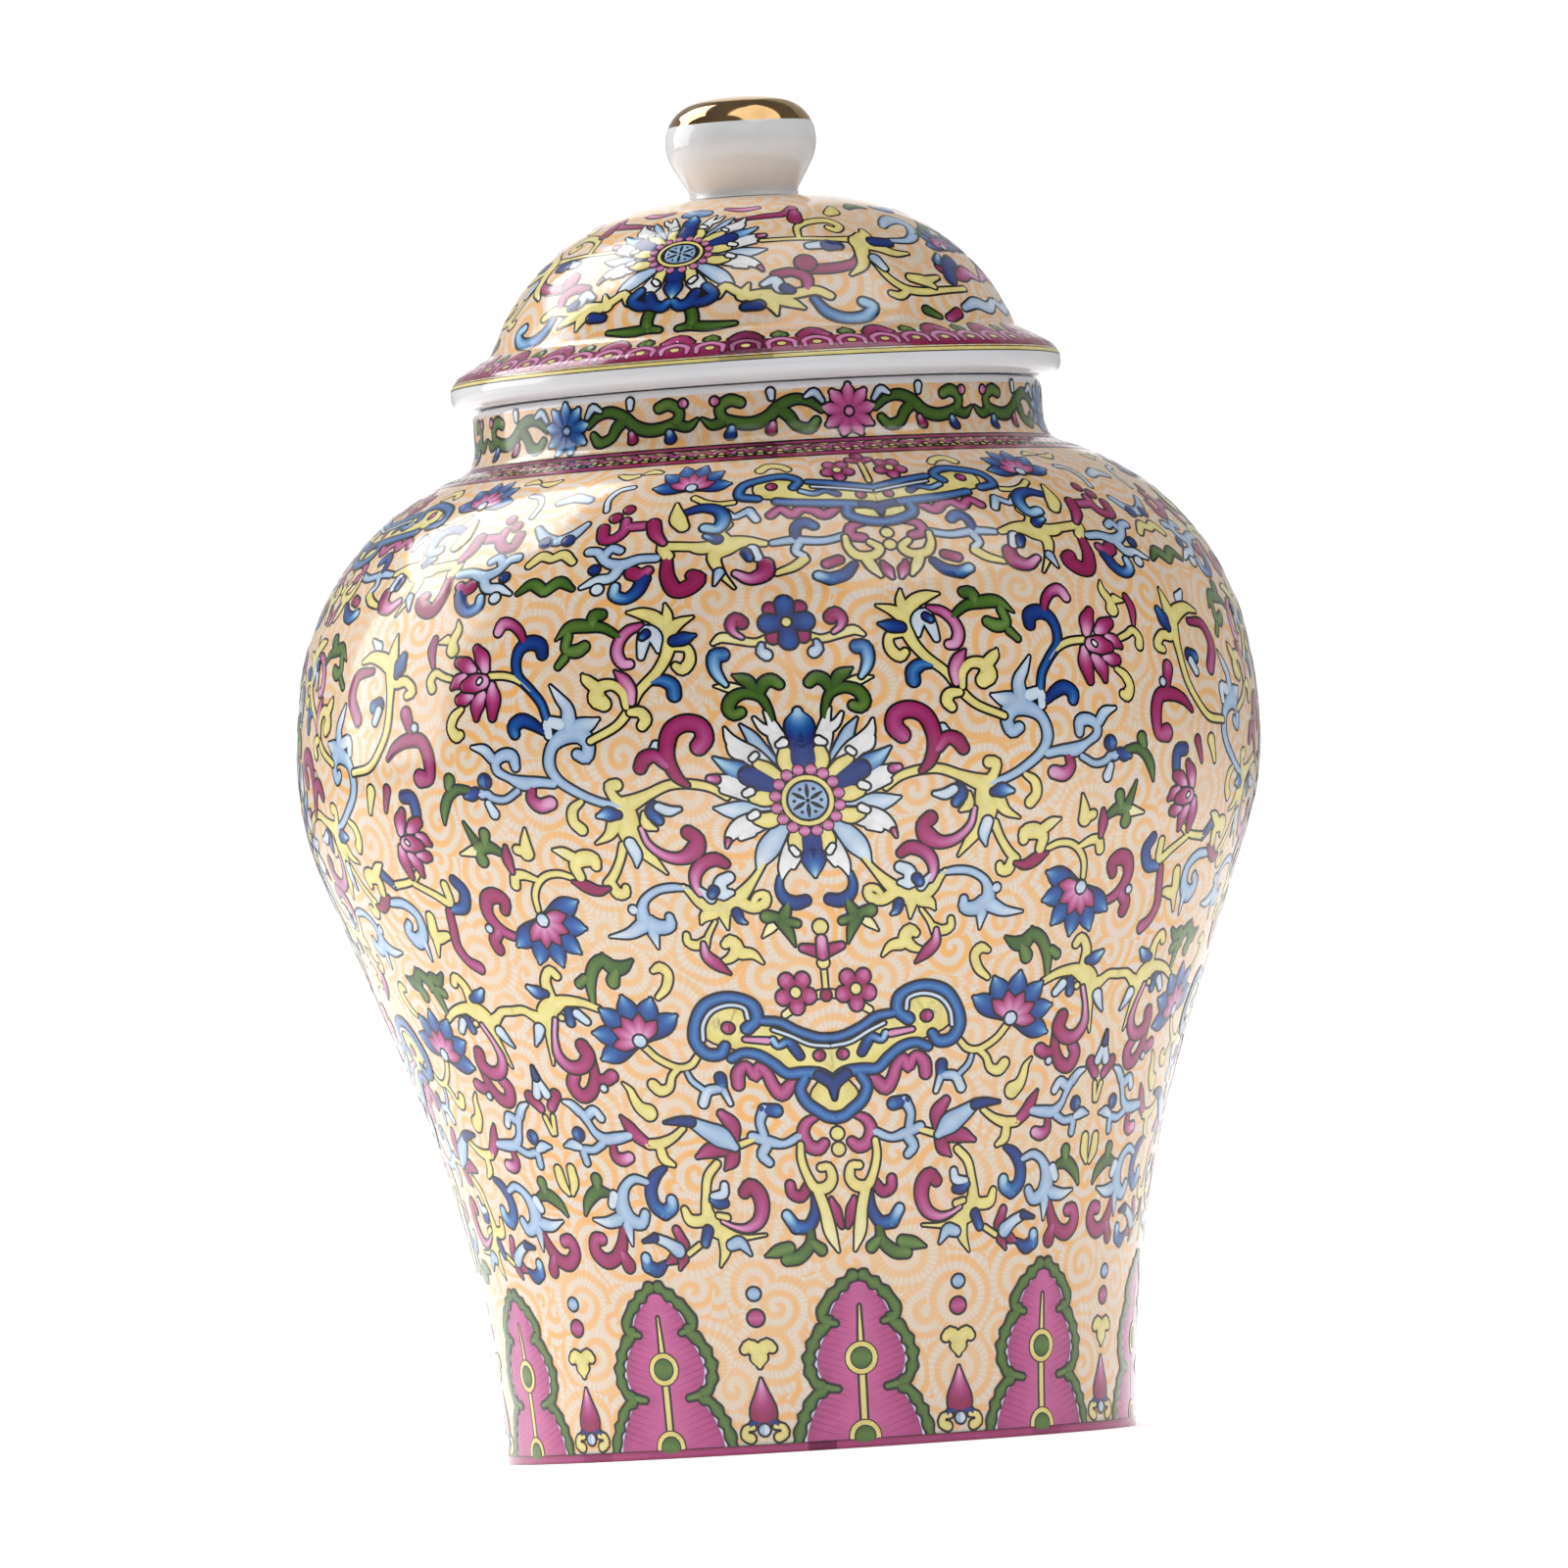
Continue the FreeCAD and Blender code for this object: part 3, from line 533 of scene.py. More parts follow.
front = Painting()
front.table("""
yellow mp 0 4.3,169.5,.5 6.5,168.7,.6 10.5,169.5,.7 13.4,170.1,.8 15.1,169.1,.3
magenta dp 1 9,173,1.2 10.1,173.9,1.1 11.2,172.6,1 10.7,171,.6 9.2,169.9,.3
sky mp 1 5.5,168,.5 5.7,166.8,.9 4.7,166,1
blue mp 1 13.4,166.6,1.2 14.9,166.4,1.3 15.3,164.1,1.1 14.5,162,.8 13.4,160.5,.4
green dm 1 5.3,152.8,.6 5.7,155.3,.6 7,157.6,.8 10.1,158.5,.9 12.6,157.4,1.1 13.4,155.5,1.1
  12.4,154.3,1 11.1,154.7,.9
green dm 1 7,158.3,.8 5.9,160.3,1.1 4.3,160.8,1.1 3,159.9,.9
green dm 1 7.8,158.7,.8 9,160.8,1.1 10.5,161.6,.8 11.8,162.3,0
yellow pp 0 10.5,159.1,.8 13,159.9,.8 15.7,160.3,0
blue dm 1 2.6,115,1 4.9,114.6,1.2 7,115.8,1 7.8,117.9,.7 7.4,120.2,.4
green dm 1 8.2,111,1.2 7,113,.9 6.3,114.8,.3
green dm 1 8.2,111,1 6.4,110.6,.8 4.9,110.2,.7
green dm 1 8.2,111,1 9.6,111.9,.9 11.3,112.1,1.2
green dm 1 8.4,111,1.1 7,108.6,.9 5.9,105.4,0
yellow pp 0 9.4,110.6,.8 11,109.4,.8 12.8,107.7,0
yellow mm 1 0,109.2,1.5
magenta dm 1 0,103.6,1.2 2.4,104.4,1 4.3,104.9,.7
magenta mp 2 0,103.4,1.2 0,106.4,1
yellow mm 1 0,101.5,1.2
yellow mm 0 0,100.6,.5 0,95.4,.5
magenta dd 1 0,94.5,1.1
yellow mp 0 0,94.9,.8 2.2,94.6,.7 6.3,92.9,.7 10.1,90.8,.6
yellow mm 1 18.8,174.9,.1 21.5,173.9,.9 24.2,172.2,1.6
yellow mm 1 24.4,178,.1 24,175.8,.9 24.5,173,1.3
yellow mm 1 32.4,176.8,.1 29.5,176.4,1 26.6,175.2,1.3 24.8,172.8,1.5
yellow mm 1 24.8,173,1.6 24.2,170,1.5 24.6,167.5,1.1 26.8,164.1,.9 30.9,160.3,.8 33,157,.8
  36,153.8,.7 42,151,.6
yellow mm 1 24,169.5,1.2 20.3,168.3,.8 20.1,165.8,1 21.8,164.1,1 23,164.9,.7
blue md 2 18.6,171,.1 20.7,170.5,1.1 23,170.1,.9
sky pp 2 26.3,168.3,.3 26.8,171.2,1.4 28.4,172.4,1.3 29.3,170,1.1 29.9,167.4,.6
blue dm 3 28.6,172,.7 29.4,171.4,.6
magenta mp 0 29.7,173.7,.6 32.2,173,.9 34.3,170.8,1 34.9,168.3,1.1 33.8,166.2,1 32.4,166,.8
blue mm 1 28,162,.4 25.9,162.2,1 24,161,1.2 23.8,159.1,1.2
magenta pm 2 32.6,158.3,.7 32.6,160.8,1 34,163,1.1 35.5,164.7,.1
yellow mm 2 33,156.2,.7 30.9,156,1 30.1,154.5,1.1 30.9,153.3,.9
yellow mm 2 33.8,157.4,.6 34.3,160.3,.8 36.3,162,.9 39,161.6,1.2 39.7,159.5,1.8 38.4,158.3,1.4
yellow mm 2 39.4,161.4,1.2 42,163.7,.8 42.5,164.5,.1
green dm 0 34.3,171.8,.5 37.6,173.9,.8 40.9,174.5,1.1 45.1,174.5,1.1 48.2,172.1,0
green dm 0 38,176.8,1 39.7,176.6,1.2 40,175,1
green mm 0 45.5,172.8,.9 45.9,169.9,.9 43.4,169.5,1.2 41.8,170.3,1
green mm 0 46.3,168.2,.8 47.8,166.6,.6
magenta md 1 20.1,148.3,1.5 18.8,149.9,1.6 19.3,152.4,1.5 22.2,153.3,1.5 25.1,152,1.5 26.5,148.7,1.4
  26.5,145.8,1.2 25.1,142.4,.9 23.4,140.8,.4
magenta md 1 27.2,145.3,.9 29.3,147.2,1.1 31.3,146.6,1.3 32.4,144.9,1.1
sky pp 0 28.6,149.2,.8 29.3,148.6,.5
yellow mm 0 15.9,137.8,.5 18.8,139.9,.7 23,141,.75 27.2,141,.8 31.3,139.5,.9 34.3,138.3,1.3
  36.8,137.4,1.8
yellow mm 0 36.8,137.4,1.8 36.8,135,2.2 36.8,131.7,2.3 34.7,127.9,1.5 30.9,122.7,.1
yellow mm 0 37.6,137.8,1.2 39,139.9,.9 39.3,141.6,1 37.8,141.8,1.1
yellow mm 0 39.2,134.6,1.6 41.3,131.7,.9 44.5,130.1,.1
yellow mm 0 38.8,129.2,.8 40.5,125.8,.7 42.6,122.9,.8 44.3,121.3,.9
yellow mm 0 43.4,121.3,.9 42.6,119.2,1.2 40.9,119.2,1 40.5,120.2,.7
magenta dp 1 24.7,131,1.3 23.2,129.6,1.3 24,127.3,1.7 26.8,125.8,1.2 30.1,126.3,.9 33.4,129.2,.6
  34.3,132.5,.4
yellow mm 1 33,135.4,.6 33,133.3,1 31.3,132.3,.3
blue dm 2 30.9,137.5,.5 31.5,135.8,1.1 30.3,134,.8
sky pp 3 25.7,136,.3 28,135.8,.9 29.9,136.7,.8
sky pm 1 37.2,129.6,1.1 36.5,127.1,1.1 37,124.6,.1
blue dp 1 38.6,135.7,.7 40.5,136,1.3 42.8,135.7,.3
magenta dp 1 18.4,124,.9 20.1,125,1.2 23,124.2,1.2 24.9,122.1,1.1 25.3,119.6,.8 24.7,117.9,.5
yellow mm 0 10.5,123.3,.4 12.6,120.6,.6 15.5,117.5,1.2 18.8,115,1.8 22.2,114.6,1.6 25.1,116.3,1.2
  26.8,118.3,.7 28,119.6,.4
yellow mm 0 16.3,115.4,1.2 13.8,114.2,1.1 11.3,115,1 10.9,116.7,.8 12.6,116.7,.7 13.6,115.6,.6
yellow mm 0 20.5,114.2,1.6 20.1,110,.1
yellow mm 0 22.6,113.8,1.4 24.7,112.9,1 25.7,111.5,.1
sky pp 1 18,121,1 19.9,120,1.2 20.1,117.7,1.4 18,117.7,.5
sky pp 1 22.6,116.7,.9 24.7,118.8,.5
blue dm 2 21.6,118.4,.9 22.2,117.6,.8
blue dp 1 17.6,113.3,.9 17,111.7,.7 15.9,111,.1
yellow mm 0 22.6,111.7,.3 24.7,108.8,.5 25.7,106.7,.7
yellow mm 0 25.5,107.9,.6 27.6,106.9,.9 29.5,107.7,.8 29.5,109.2,.6
magenta pd 1 26.1,107.1,.4 25.9,104.6,1 23.8,102.5,1.1 21.3,100.4,.1
yellow mm 0 23,102.9,.4 20.5,103.8,.9 18.8,105.8,1.4 20.1,107.3,1.3 21.3,106.7,.8
yellow mm 0 18,104.6,1.2 15.5,104.2,.9 13.6,102.3,.2
sky mm 0 27.2,119.2,.4 30.1,119.6,.7 33.8,119.2,.7 37.2,117.1,.8 38.2,114.6,1.3 38,112.9,1.8
  35.1,111.3,1.5 32.6,111.7,1.2 32.4,113.3,.8
sky mp 0 36.8,110,1.2 36.5,106.9,.1
sky mp 0 38.4,112.1,1.6 42.2,110.4,1 47,110,.1
sky pp 0 40.1,115.4,.9
yellow mm 0 39,102.1,.5 37.2,102.7,1 35.7,101.3,1 36.8,98.3,.9 39.3,96.3,.5
sky mm 0 38,137.4,.7 42.2,138.7,.7 46.3,140.8,.8 50.1,143.7,.9 51.5,146.6,1.1 50.5,150.3,1.1
  47.6,152.4,1.6 44.3,152.8,2 42.6,150.3,1.3 43.4,147.8,1.2 45.1,148.5,1
sky mp 0 43.8,154.1,1.6 41.8,154.5,1.2 39.9,155.3,.2
sky mp 0 46.3,154.5,1.6 46.3,157.8,1.2 48,160.3,.8 49.7,162.8,.1
sky pp 0 48.4,154.9,1.2 50.9,155.3,1 50.9,152.8,.8
yellow mm 1 50.1,123.3,1 50.5,125.8,1.2 48.4,127.1,1.6 46.1,126.7,1.5 45.9,125.4,1
yellow mp 1 50.5,127.5,1.1 52.6,128.8,.9 54.5,129.4,.1
magenta dd 1 44.3,120.4,.3 46.8,120,.9 49.7,121.3,1.1 52,122.3,.2
yellow mm 0 45.9,138.9,.5 48,137.4,.9 48.4,134.9,1 47,133.2,1.1
green dm 0 43.4,104.6,.2 45.9,103.3,1.2 48.4,103.3,1.5 50.5,105,1.2 53,103.8,1.2 55.1,100.4,1.1
  55.9,96.3,.5
green mm 0 49.3,100.4,1.4 48,102.5,.9
green mm 0 56.3,101.3,.9 58,100.4,.9
green dm 0 50.1,106.3,.2 49.6,104.4,.9
""")
quatrefoil(front, 172.5)
medallion(front, 136.1)
blossom(front, "magenta", 7, 95.5, 3.6, (0.0, 0.55))

# ---------------------------------------------------------------- belly painting, sides

flank = Painting()
PEONY = """
magenta pd 1 -1.8,2.5,1 -1.1,4.6,1.6 .4,6.7,.8
magenta pd 1 1.2,2.5,.8 2.9,3.4,1.5 5,4.2,1
magenta pd 1 3.7,.9,1 5.4,.2,1.3 6.8,-.8,.4
magenta pd 1 2,-2.9,.8 3.7,-3.3,1.4 5,-3.5,.9
magenta pd 1 -.9,-2.9,1 .4,-5,1.5 .8,-7.5,.5
magenta pd 1 -3.4,-1.2,.8 -3.6,-3.7,1.6 -3.2,-7.5,.8
magenta pd 2 -1.3,-.2,1.4 1.2,-.4,1.8 3.3,-.8,1.1
white pp 3 -.6,.2,.35 -.2,-.2,.35
"""
ACANTHUS_TWO = """
yellow mm 1 92.2,169.5,2 91.7,173,1.2 91.3,176.2,.1
yellow mm 1 92.4,169.7,1.8 95.5,171.2,1.5 99.5,172,1 103,171.2,.3
yellow mm 1 91.6,168,1.4 90.5,166.2,1.1 87.2,166.2,.9 85.1,164.1,1 86.8,163.3,.7
yellow mm 1 92.2,169,1.8 92.2,163.7,.9 93.4,157,.8 96.3,152.8,.7 100.5,149.5,.7 107.2,148.7,.6
blue md 2 88.2,171.5,.7 89.3,169.5,1.5 90.2,167.8,.7
"""
flank.table("""
blue dm 0 51.3,169.5,1.1 51.7,171.2,1.3 54,172,1.3 56.3,171,1.1 57.4,168.7,.9 57,165.3,.8
  54.2,162.2,.7 52,159.3,.7 51.1,156.4,.7
magenta dp 0 55.7,172.6,.6 56.7,174.5,.8 58.8,176.2,.9 61.1,176.4,1.2 62,174.9,1
yellow mm 0 54.5,162.2,.4 56.8,164.3,.55 60,165.5,.6 64.7,165.8,.6
blue dm 0 52.2,153.7,.5 54.3,155.3,1 56.8,156.2,1.2 58.8,154.9,1.2 58.6,153.7,1
yellow mm 0 71.3,159.5,.5 73.4,158,.9 74.3,155.8,1 73,154.1,1.2 72,154.3,.8
yellow mm 0 73.8,165.8,.5 76.3,166.6,.6 78.2,167.4,.7 79.7,165.8,.9 79.3,164.3,1
yellow mm 0 73,178,.1 72.6,176.2,.8 73.8,173.7,1 73.8,172,1.5
yellow mm 0 75.5,174.1,.9 77.6,173.7,.2
magenta dm 0 79,174.5,.6 79.7,172,.9 79,168.7,.3
sky mm 0 51.3,143,.8 54.7,143.5,.9 58,143.5,1.3 61.3,144.9,.7 63.8,146.6,.9 63.8,148.3,1
  61.8,149.5,1.1 59.7,149.1,1.2 59.3,147,.9
sky mp 0 64.7,149.1,1 66.3,150.8,1 69.3,151.6,.2
sky mm 0 59.7,142,.6 63,140.5,.6 65.9,141,.7 67.2,142,.8 68.4,142,.9
sky pp 0 67.2,139.9,.7 66.3,137.8,1
blue dm 1 67.2,144.5,1.4
blue dm 0 69.7,142.4,.9 71.3,142,1.1 72.6,141.8,.4
magenta dp 0 56.3,142,.7 56.8,140.3,1 55.1,138.7,1.3 52.6,139.1,1.2
green dm 0 71.8,143,.6 74.7,143.3,.8 77.2,142,.9 79,139.5,.9 79.9,136.6,.1
green mm 0 76.3,145.3,1.2 76.8,144.1,.8
yellow mm 0 51.3,122.9,.5 54.7,124.2,.6 58,124,.6 60.5,122.5,.6 62.2,120,.6 62.6,116.7,.5
yellow mm 0 60.5,123.3,.5 63.8,124.6,.9 65.5,124.4,1 66.3,122.5,1
magenta dm 1 65.7,130.8,.3 66.1,128.3,1 65.9,125.4,.4
yellow mm 1 59.9,134.2,.1 60.5,131.7,.9 60.9,129.2,1.5
yellow mm 1 61,129.4,1 63,130,.9
green dm 0 67.2,129.6,.6 69.7,131,1.1 72.6,131,1.3
green mm 0 70.1,133.8,1.1 70.6,131.6,.8
green dm 0 73,132.4,.9 74.7,136.5,.1
green mm 0 72.6,128.3,1.3 72.8,130.4,.9
yellow pp 0 74.3,130.4,1 77.8,130,.1
magenta md 0 69.3,111,.6 72.6,112.1,.9 75.1,114.2,1.1 76.3,117.1,1.3 75.1,120,1.5 72.6,120.6,1.5
  70.5,119.2,1.2 71.3,117.3,1
magenta md 0 75.5,112.5,1.2 77.2,110.8,1.3 76.8,109.2,1.3
sky pp 1 77.4,113.6,.8
magenta dm 0 98.8,169.1,.5 104.7,168.3,1 106.8,164.1,1.4 104.3,159.5,1.4
sky pp 0 97.6,174,1.2 100.1,175.7,.2
blue dm 0 95.9,162,1.3 98,161.6,1.2
sky pp 1 96.2,160.8,.9 97.6,158.6,.8
magenta md 0 84.3,146.2,1.7 81.8,146.2,1.2 81.3,150.3,1.4 83,153.7,1.3 87.2,154.1,1.2 91.3,152.8,.9
  93.8,150.8,.4
magenta dm 0 85.9,156.2,1 87.2,159.5,1.4
sky pp 1 84.7,156.6,.8
blue dm 0 90.5,142.8,1.1 88,142.4,1.2 87.6,138.7,1.1 89.3,136.2,.6
yellow mm 0 91.3,127.8,.6 95.5,125.3,.6 103,124.5,.7
blue dm 0 103,124.5,.8 106.8,127.8,1.2
yellow mm 0 95.5,124.5,.6 90.5,122,.7 86.3,119.9,.9 85.9,123.7,.9
blue dm 0 82.6,124.5,1 80.9,122,1.2 82.6,118.7,1.2 85.9,118.3,.8
magenta dm 0 87.6,117.8,.9 88.4,114.5,1 89.3,110.3,1.1 87.6,107,1 84.7,105.3,1.2
yellow mm 0 94.7,117,1.2 95.5,112.8,1.4 91.3,112.8,.8
yellow mm 0 95.5,112.6,1.3 97.2,108.7,.2
sky mm 0 108,121,.7 102.2,120.3,1 99,117.6,1.1 99.7,113.7,1.4 103,112.2,1.7 105.2,114.4,1.2 103.6,116,.9
sky mp 0 100.6,112.6,1.1 100.5,107.8,.1
magenta dm 0 95.5,144.5,1 97.2,140.3,.3
yellow mm 0 101.3,144.5,1.3 103,140.3,.4
green dm 0 99,104.6,.3 101.4,103.2,1.1 104,103.8,1.2 106,101.4,.3
""")
flank.table(ACANTHUS_TWO)
flank.at(66.8, 164.9)
flank.table(PEONY)
flank.at(92.2, 133.4, 0.95, -1)
flank.table(PEONY)
flank.home()
lotus(flank, 62.2, 114.6, -155)

# ---------------------------------------------------------------- waist painting

waist = Painting()
waist.stroke("yellow", [(0, 80.6, 3.6), (6, 82.2, 3.8), (12, 85.4, 3.8), (19.6, 89.3, 4.6)], level=1)
waist.stroke("yellow", [(19.6, 89.3, 4.6), (20.8, 90.0, 4.8)], level=1)
waist.stroke("yellow", [(0, 74.6, 3.2), (1.6, 72.4, 3.4)], level=0)
waist.table("""
blue mm 2 0,85.3,.75 2.2,85.5,.75 6.3,87.2,.75 9.6,89.3,.75 12.8,89.8,.7
blue mm 2 16,88.4,1.1 13.9,90.4,1 14.4,93.4,1 18.7,95.3,1 23.3,94.1,1 26,90.3,1 26.8,86.4,1.1
  25.2,83.6,1.1 22.3,83.3,1 21,85,.8
blue mm 2 .5,76.5,.9 2.6,77.8,1 6.3,78.2,1 9.3,78.2,.9 11.8,80.5,.9 14.7,82.6,.9 17.6,83.2,.8
  20.1,82.2,.8
blue dd 3 0,72.4,.3 .4,75.4,.9 2.8,77.4,.9
blue mm 2 5.9,76.8,.9 7,74.7,.9 5.9,71.8,1 3.4,69.7,1 1.8,68.6,1 0,68.2,1
sky pp 3 .3,83.6,.28 4,84.2,.28 8,86.4,.28 11,87.8,.28
sky pp 3 15.6,90.6,.3 16,92.8,.3 18.8,93.7,.3 22.4,92.6,.3 24.6,89.8,.3 25.2,86.6,.3
magenta dm 2 2.4,81.7,1
magenta dm 2 19.8,88.8,1.1
blue dp 2 6.3,81.8,.7 7.2,83.4,.8 8.4,85,.7 10.5,84.3,.6 11.3,85.6,.6
pink pp 2 12.4,85.5,.6 16.8,86.1,.4
magenta mm 0 7.2,76.9,.8 9,75.6,1.1 11,73.9,1.3 12.5,75.8,1.1 13.5,78.5,1 15,79.9,1 15.9,78,1
  17.5,80.5,.8 19.3,79,1.2 19.7,76.5,1.1
yellow mm 0 26.8,83.4,.5 28.8,81.3,.6 31.3,80.9,.6 35.3,83,.6 37.8,85.9,.6
yellow mm 0 31.6,80.8,.6 33.3,79.2,.6 34.5,76.8,.8 36.6,76.3,1.1 37.8,77.6,1.1
blue dm 0 23.2,78.2,1 23.2,76.4,.9
sky mp 0 23,75.5,.7 22,72.6,.4
sky mp 0 23.8,75.9,.8 26.3,75.5,.9 27.8,73,.9
sky mm 0 27.2,75.9,.5 29.3,78,.5 29.9,79.7,.4
magenta mm 0 3.8,68.8,.4 6.3,67.6,.9 7.4,65.5,1.1 6.3,62.6,1.2 4.3,62,1.2 3,63,.9
yellow mm 0 0,64.9,1.3
yellow mm 0 0,61.6,1.3
sky mm 0 8.4,64.7,.8 11.8,63.4,.7 14.7,64,1 18.4,65.3,.9
sky mm 0 15.9,65.5,.8 16.3,68.4,.8 15.1,70.9,1
blue dm 0 15.1,70.9,1 12.6,70.5,1.2
sky mm 0 15.5,63.4,1 16.8,61.3,1 15.5,59.7,.8
yellow mm 1 8.2,63,.6 8.4,60.1,.7 7.4,56.3,.8 5.9,53.8,1 3.4,53.8,1.1 2,55.5,1 2.6,58,.8 4.3,58,.7
yellow mp 1 5.5,53.4,1 4.3,49.3,1.1 3.4,44.3,1.2 2,40.5,.2
magenta md 0 2.6,51.3,.3 2,48.8,1.2 .7,45.5,.4
magenta dm 0 7.6,54.3,.8 9.3,52.2,1 11.3,53,1 11.5,54.7,.9
blue dm 0 6.3,52.6,.5 6.5,48.8,.9 8.4,45.9,1.1 11.3,45.9,1.2
blue mp 0 11.3,45.9,1.2 13,48.4,1
green dm 0 8,44.7,.7 8.4,42.2,1 11.3,39.7,1.2 14.3,39.3,1.1
green mm 0 5.9,40.9,1.1 7.8,42.4,.8
green mm 0 13.4,41.6,1.2 16.3,41.1,1.1 19,40.3,.1
sky mm 1 22.6,63.4,.8 25.1,65.5,2.1 28,67.2,1.7 31.3,69.3,.9
blue dd 2 31.3,69.3,.9 33.8,69.6,.7 37.2,69.5,.1
magenta dm 0 22.2,64.7,.6 22.4,68,1.4 24.3,70.5,.8
magenta dm 0 22.6,63,.8 23.8,60.5,1.3 25.5,58.8,.1
magenta dm 0 25.1,62.6,.8 28,63,1.4 31.3,61.8,.3
yellow mm 0 18.4,64.7,.5 21.3,63.8,.6
yellow mm 0 27.2,60.1,.7 29.7,57.6,.8 30.9,53.8,.8 31.3,50.5,1.2 30.9,48,2.1 28.8,45.9,1.6
  24,44.5,.5 18.4,44.7,.1
yellow mm 0 28.4,45,1.2 28.4,42.2,1.1 30.1,38.8,.1
sky mm 1 26.8,43,1 24.7,43.4,1.2 22.6,40.9,.2
blue dm 1 31.8,46.3,1 33,43.8,.8
yellow mm 0 31.6,48.8,1.2 33.3,48.4,1.1 35.8,48.8,1.1 36.6,50.9,.7
magenta dp 1 22,53.8,1.1 20.5,55.1,1.3 18.8,53.4,1.5 18.4,50.5,1.4 19.7,47.6,1.2 22.6,46.3,.8
  25.5,46.8,.4 28,48,.3
sky pp 1 26.3,55.5,.7 26.8,53.8,.9 29.3,53.4,.6
blue dm 1 26.8,51.8,.7 28.4,51.8,.9 29.7,52.6,.5
yellow mm 1 26.8,48.8,.6 28.8,49.3,.5
yellow mm 0 45.3,94.7,.6 48.7,96.3,.8 52.8,96.8,1.2 56.2,95.5,2.1 58.7,93.4,1.8 60.8,94.3,1
  62.8,95.5,.8 65.6,95.5,.8
yellow mm 0 57.4,91.8,1.5 58.7,87.6,.8 59.9,83.4,.1
yellow mm 0 55.2,97,1.3 55.3,99.5,1.1 55,101.8,.9 53.3,103.8,.8 52.3,102.4,.8
blue dp 1 56,98.8,.6 57.8,99.2,1.2 59.5,100.4,.4
sky pm 1 60.3,91.3,1.1 61.2,89.7,.8 62.6,87.8,.1
sky pp 1 50.3,94,.9 48.7,92.2,.7
blue dm 1 52,94.7,.7 52.4,92.2,.8
yellow mm 1 54.1,93.4,.6
magenta dp 1 51.4,87,1.3 50.8,84.7,1.4 52.8,82.6,1.3 55.8,82.6,1.2 57.8,85.1,1 57.4,88.8,.5 55.8,93,.4
magenta dm 0 50.1,83.8,.6 50.8,79.7,1 52.8,76.8,1.2 55.3,76.3,1.3 56.6,78.8,1.3 55.3,80.9,1.1
magenta dm 0 50.3,79.7,.8 48.3,79.3,1.1 46.6,80.1,1.2
sky pp 1 49.3,77.6,.7
yellow mm 0 40.3,71.8,1.7 42,73,1.2 42.8,74.7,.9 43.3,76.8,.6 44.5,78.4,.1
yellow mm 0 33.3,68,.5 35.8,66.3,.7 39.1,65.1,1 42,65.1,.9
magenta md 0 42.4,65.3,.9 44.5,67.2,1.2 45.8,69.3,1 47,71.3,.2
yellow mm 0 39.5,64.3,.9 39.1,61.8,1 37.2,60.5,.4
sky mm 0 46.2,67.2,.8 49.5,66.8,1.1 52.4,66.8,1.1 54.5,68.4,.8 55.3,70.1,.7 56.2,72.2,1
sky mp 0 54.9,72.2,1 53.3,73,.9 52,71.3,.8
sky mp 0 57,73,1 58.7,74.7,.8 60.3,75.3,.3
sky mm 0 53.3,65.9,.8 55.8,64.7,.7 58.7,64.7,.8 58.7,62.2,.8
blue dm 1 58.9,68.2,1.3
sky pm 0 59.5,65.5,.7 61.2,66.1,1 63.5,65.9,.2
magenta dp 0 50.8,65.1,.6 50.8,63,1 49.1,62.2,1.2 47.4,62.6,1
blue dm 0 39.5,59.9,.4 42,58.4,1 43.9,55.5,1.2 43.7,52.2,1.3 41.6,50.5,1.3
blue mp 0 41.6,50.5,1.3 39.5,51.8,1.3 39.3,53,1.1
sky mm 0 44.5,57.2,.6 47.4,58,.8 49.9,56.8,.9 51.6,54.3,1.4 52,51.3,2 50.3,49.3,1.5 47.8,48.8,1.2
  46.6,50.5,1
sky mp 0 51.8,48,1.3 51.6,44.3,.1
sky mp 0 54.1,49.7,1.3 57,49.3,1 60.8,50.1,.1
sky pp 0 53.7,54.7,1.1 54.7,53,.9
green dm 0 55.3,55.5,.7 57.8,55.9,1.2 61.2,53.8,1 62.8,51.3,.2
green mm 0 57.4,58.4,1.2 57.6,56.6,.8
yellow mm 0 63.7,60.9,1 63.9,58,1.1 65,55.9,.5
magenta dm 0 62,76.8,1.2 64.1,74.3,.9
sky pp 1 64.3,77.2,1 65.3,80,.7
blue dd 2 65.6,81,.8 65.6,83.2,.2
yellow mm 0 64.5,72.2,.5 65.3,68.8,.5
magenta dm 0 53.3,47.6,.6 54.5,44.3,1.2 57,41.8,1.3 59.9,41.3,1.4 62.4,43.4,1.4 61.6,45.9,1.3
  59.7,45.9,1.1
magenta dm 0 53.7,40.1,1.5 54.8,42.4,1
sky mp 1 39.9,42.6,1.5 42.4,44.3,1 45.3,45.5,.8
blue dd 2 45.3,45.5,.7 48.5,44.9,.1
magenta dm 0 38.3,43.8,1.1 39.5,46.8,.8
magenta dm 0 39.1,40.9,1.2 40.3,38.8,.2
magenta dm 0 41.6,40.9,1 43.5,40.1,.2
yellow mm 0 34.5,43.4,.5 37.4,41.8,.5
blue dm 0 43.7,40.1,.4 46.2,38.8,1.2 48.7,39.7,1.2
blue mp 0 48.7,39.7,1.2 48.7,41.3,1.1
""")
lotus(waist, 38.3, 87.2, 25, 0.97)

# ---------------------------------------------------------------- foot painting

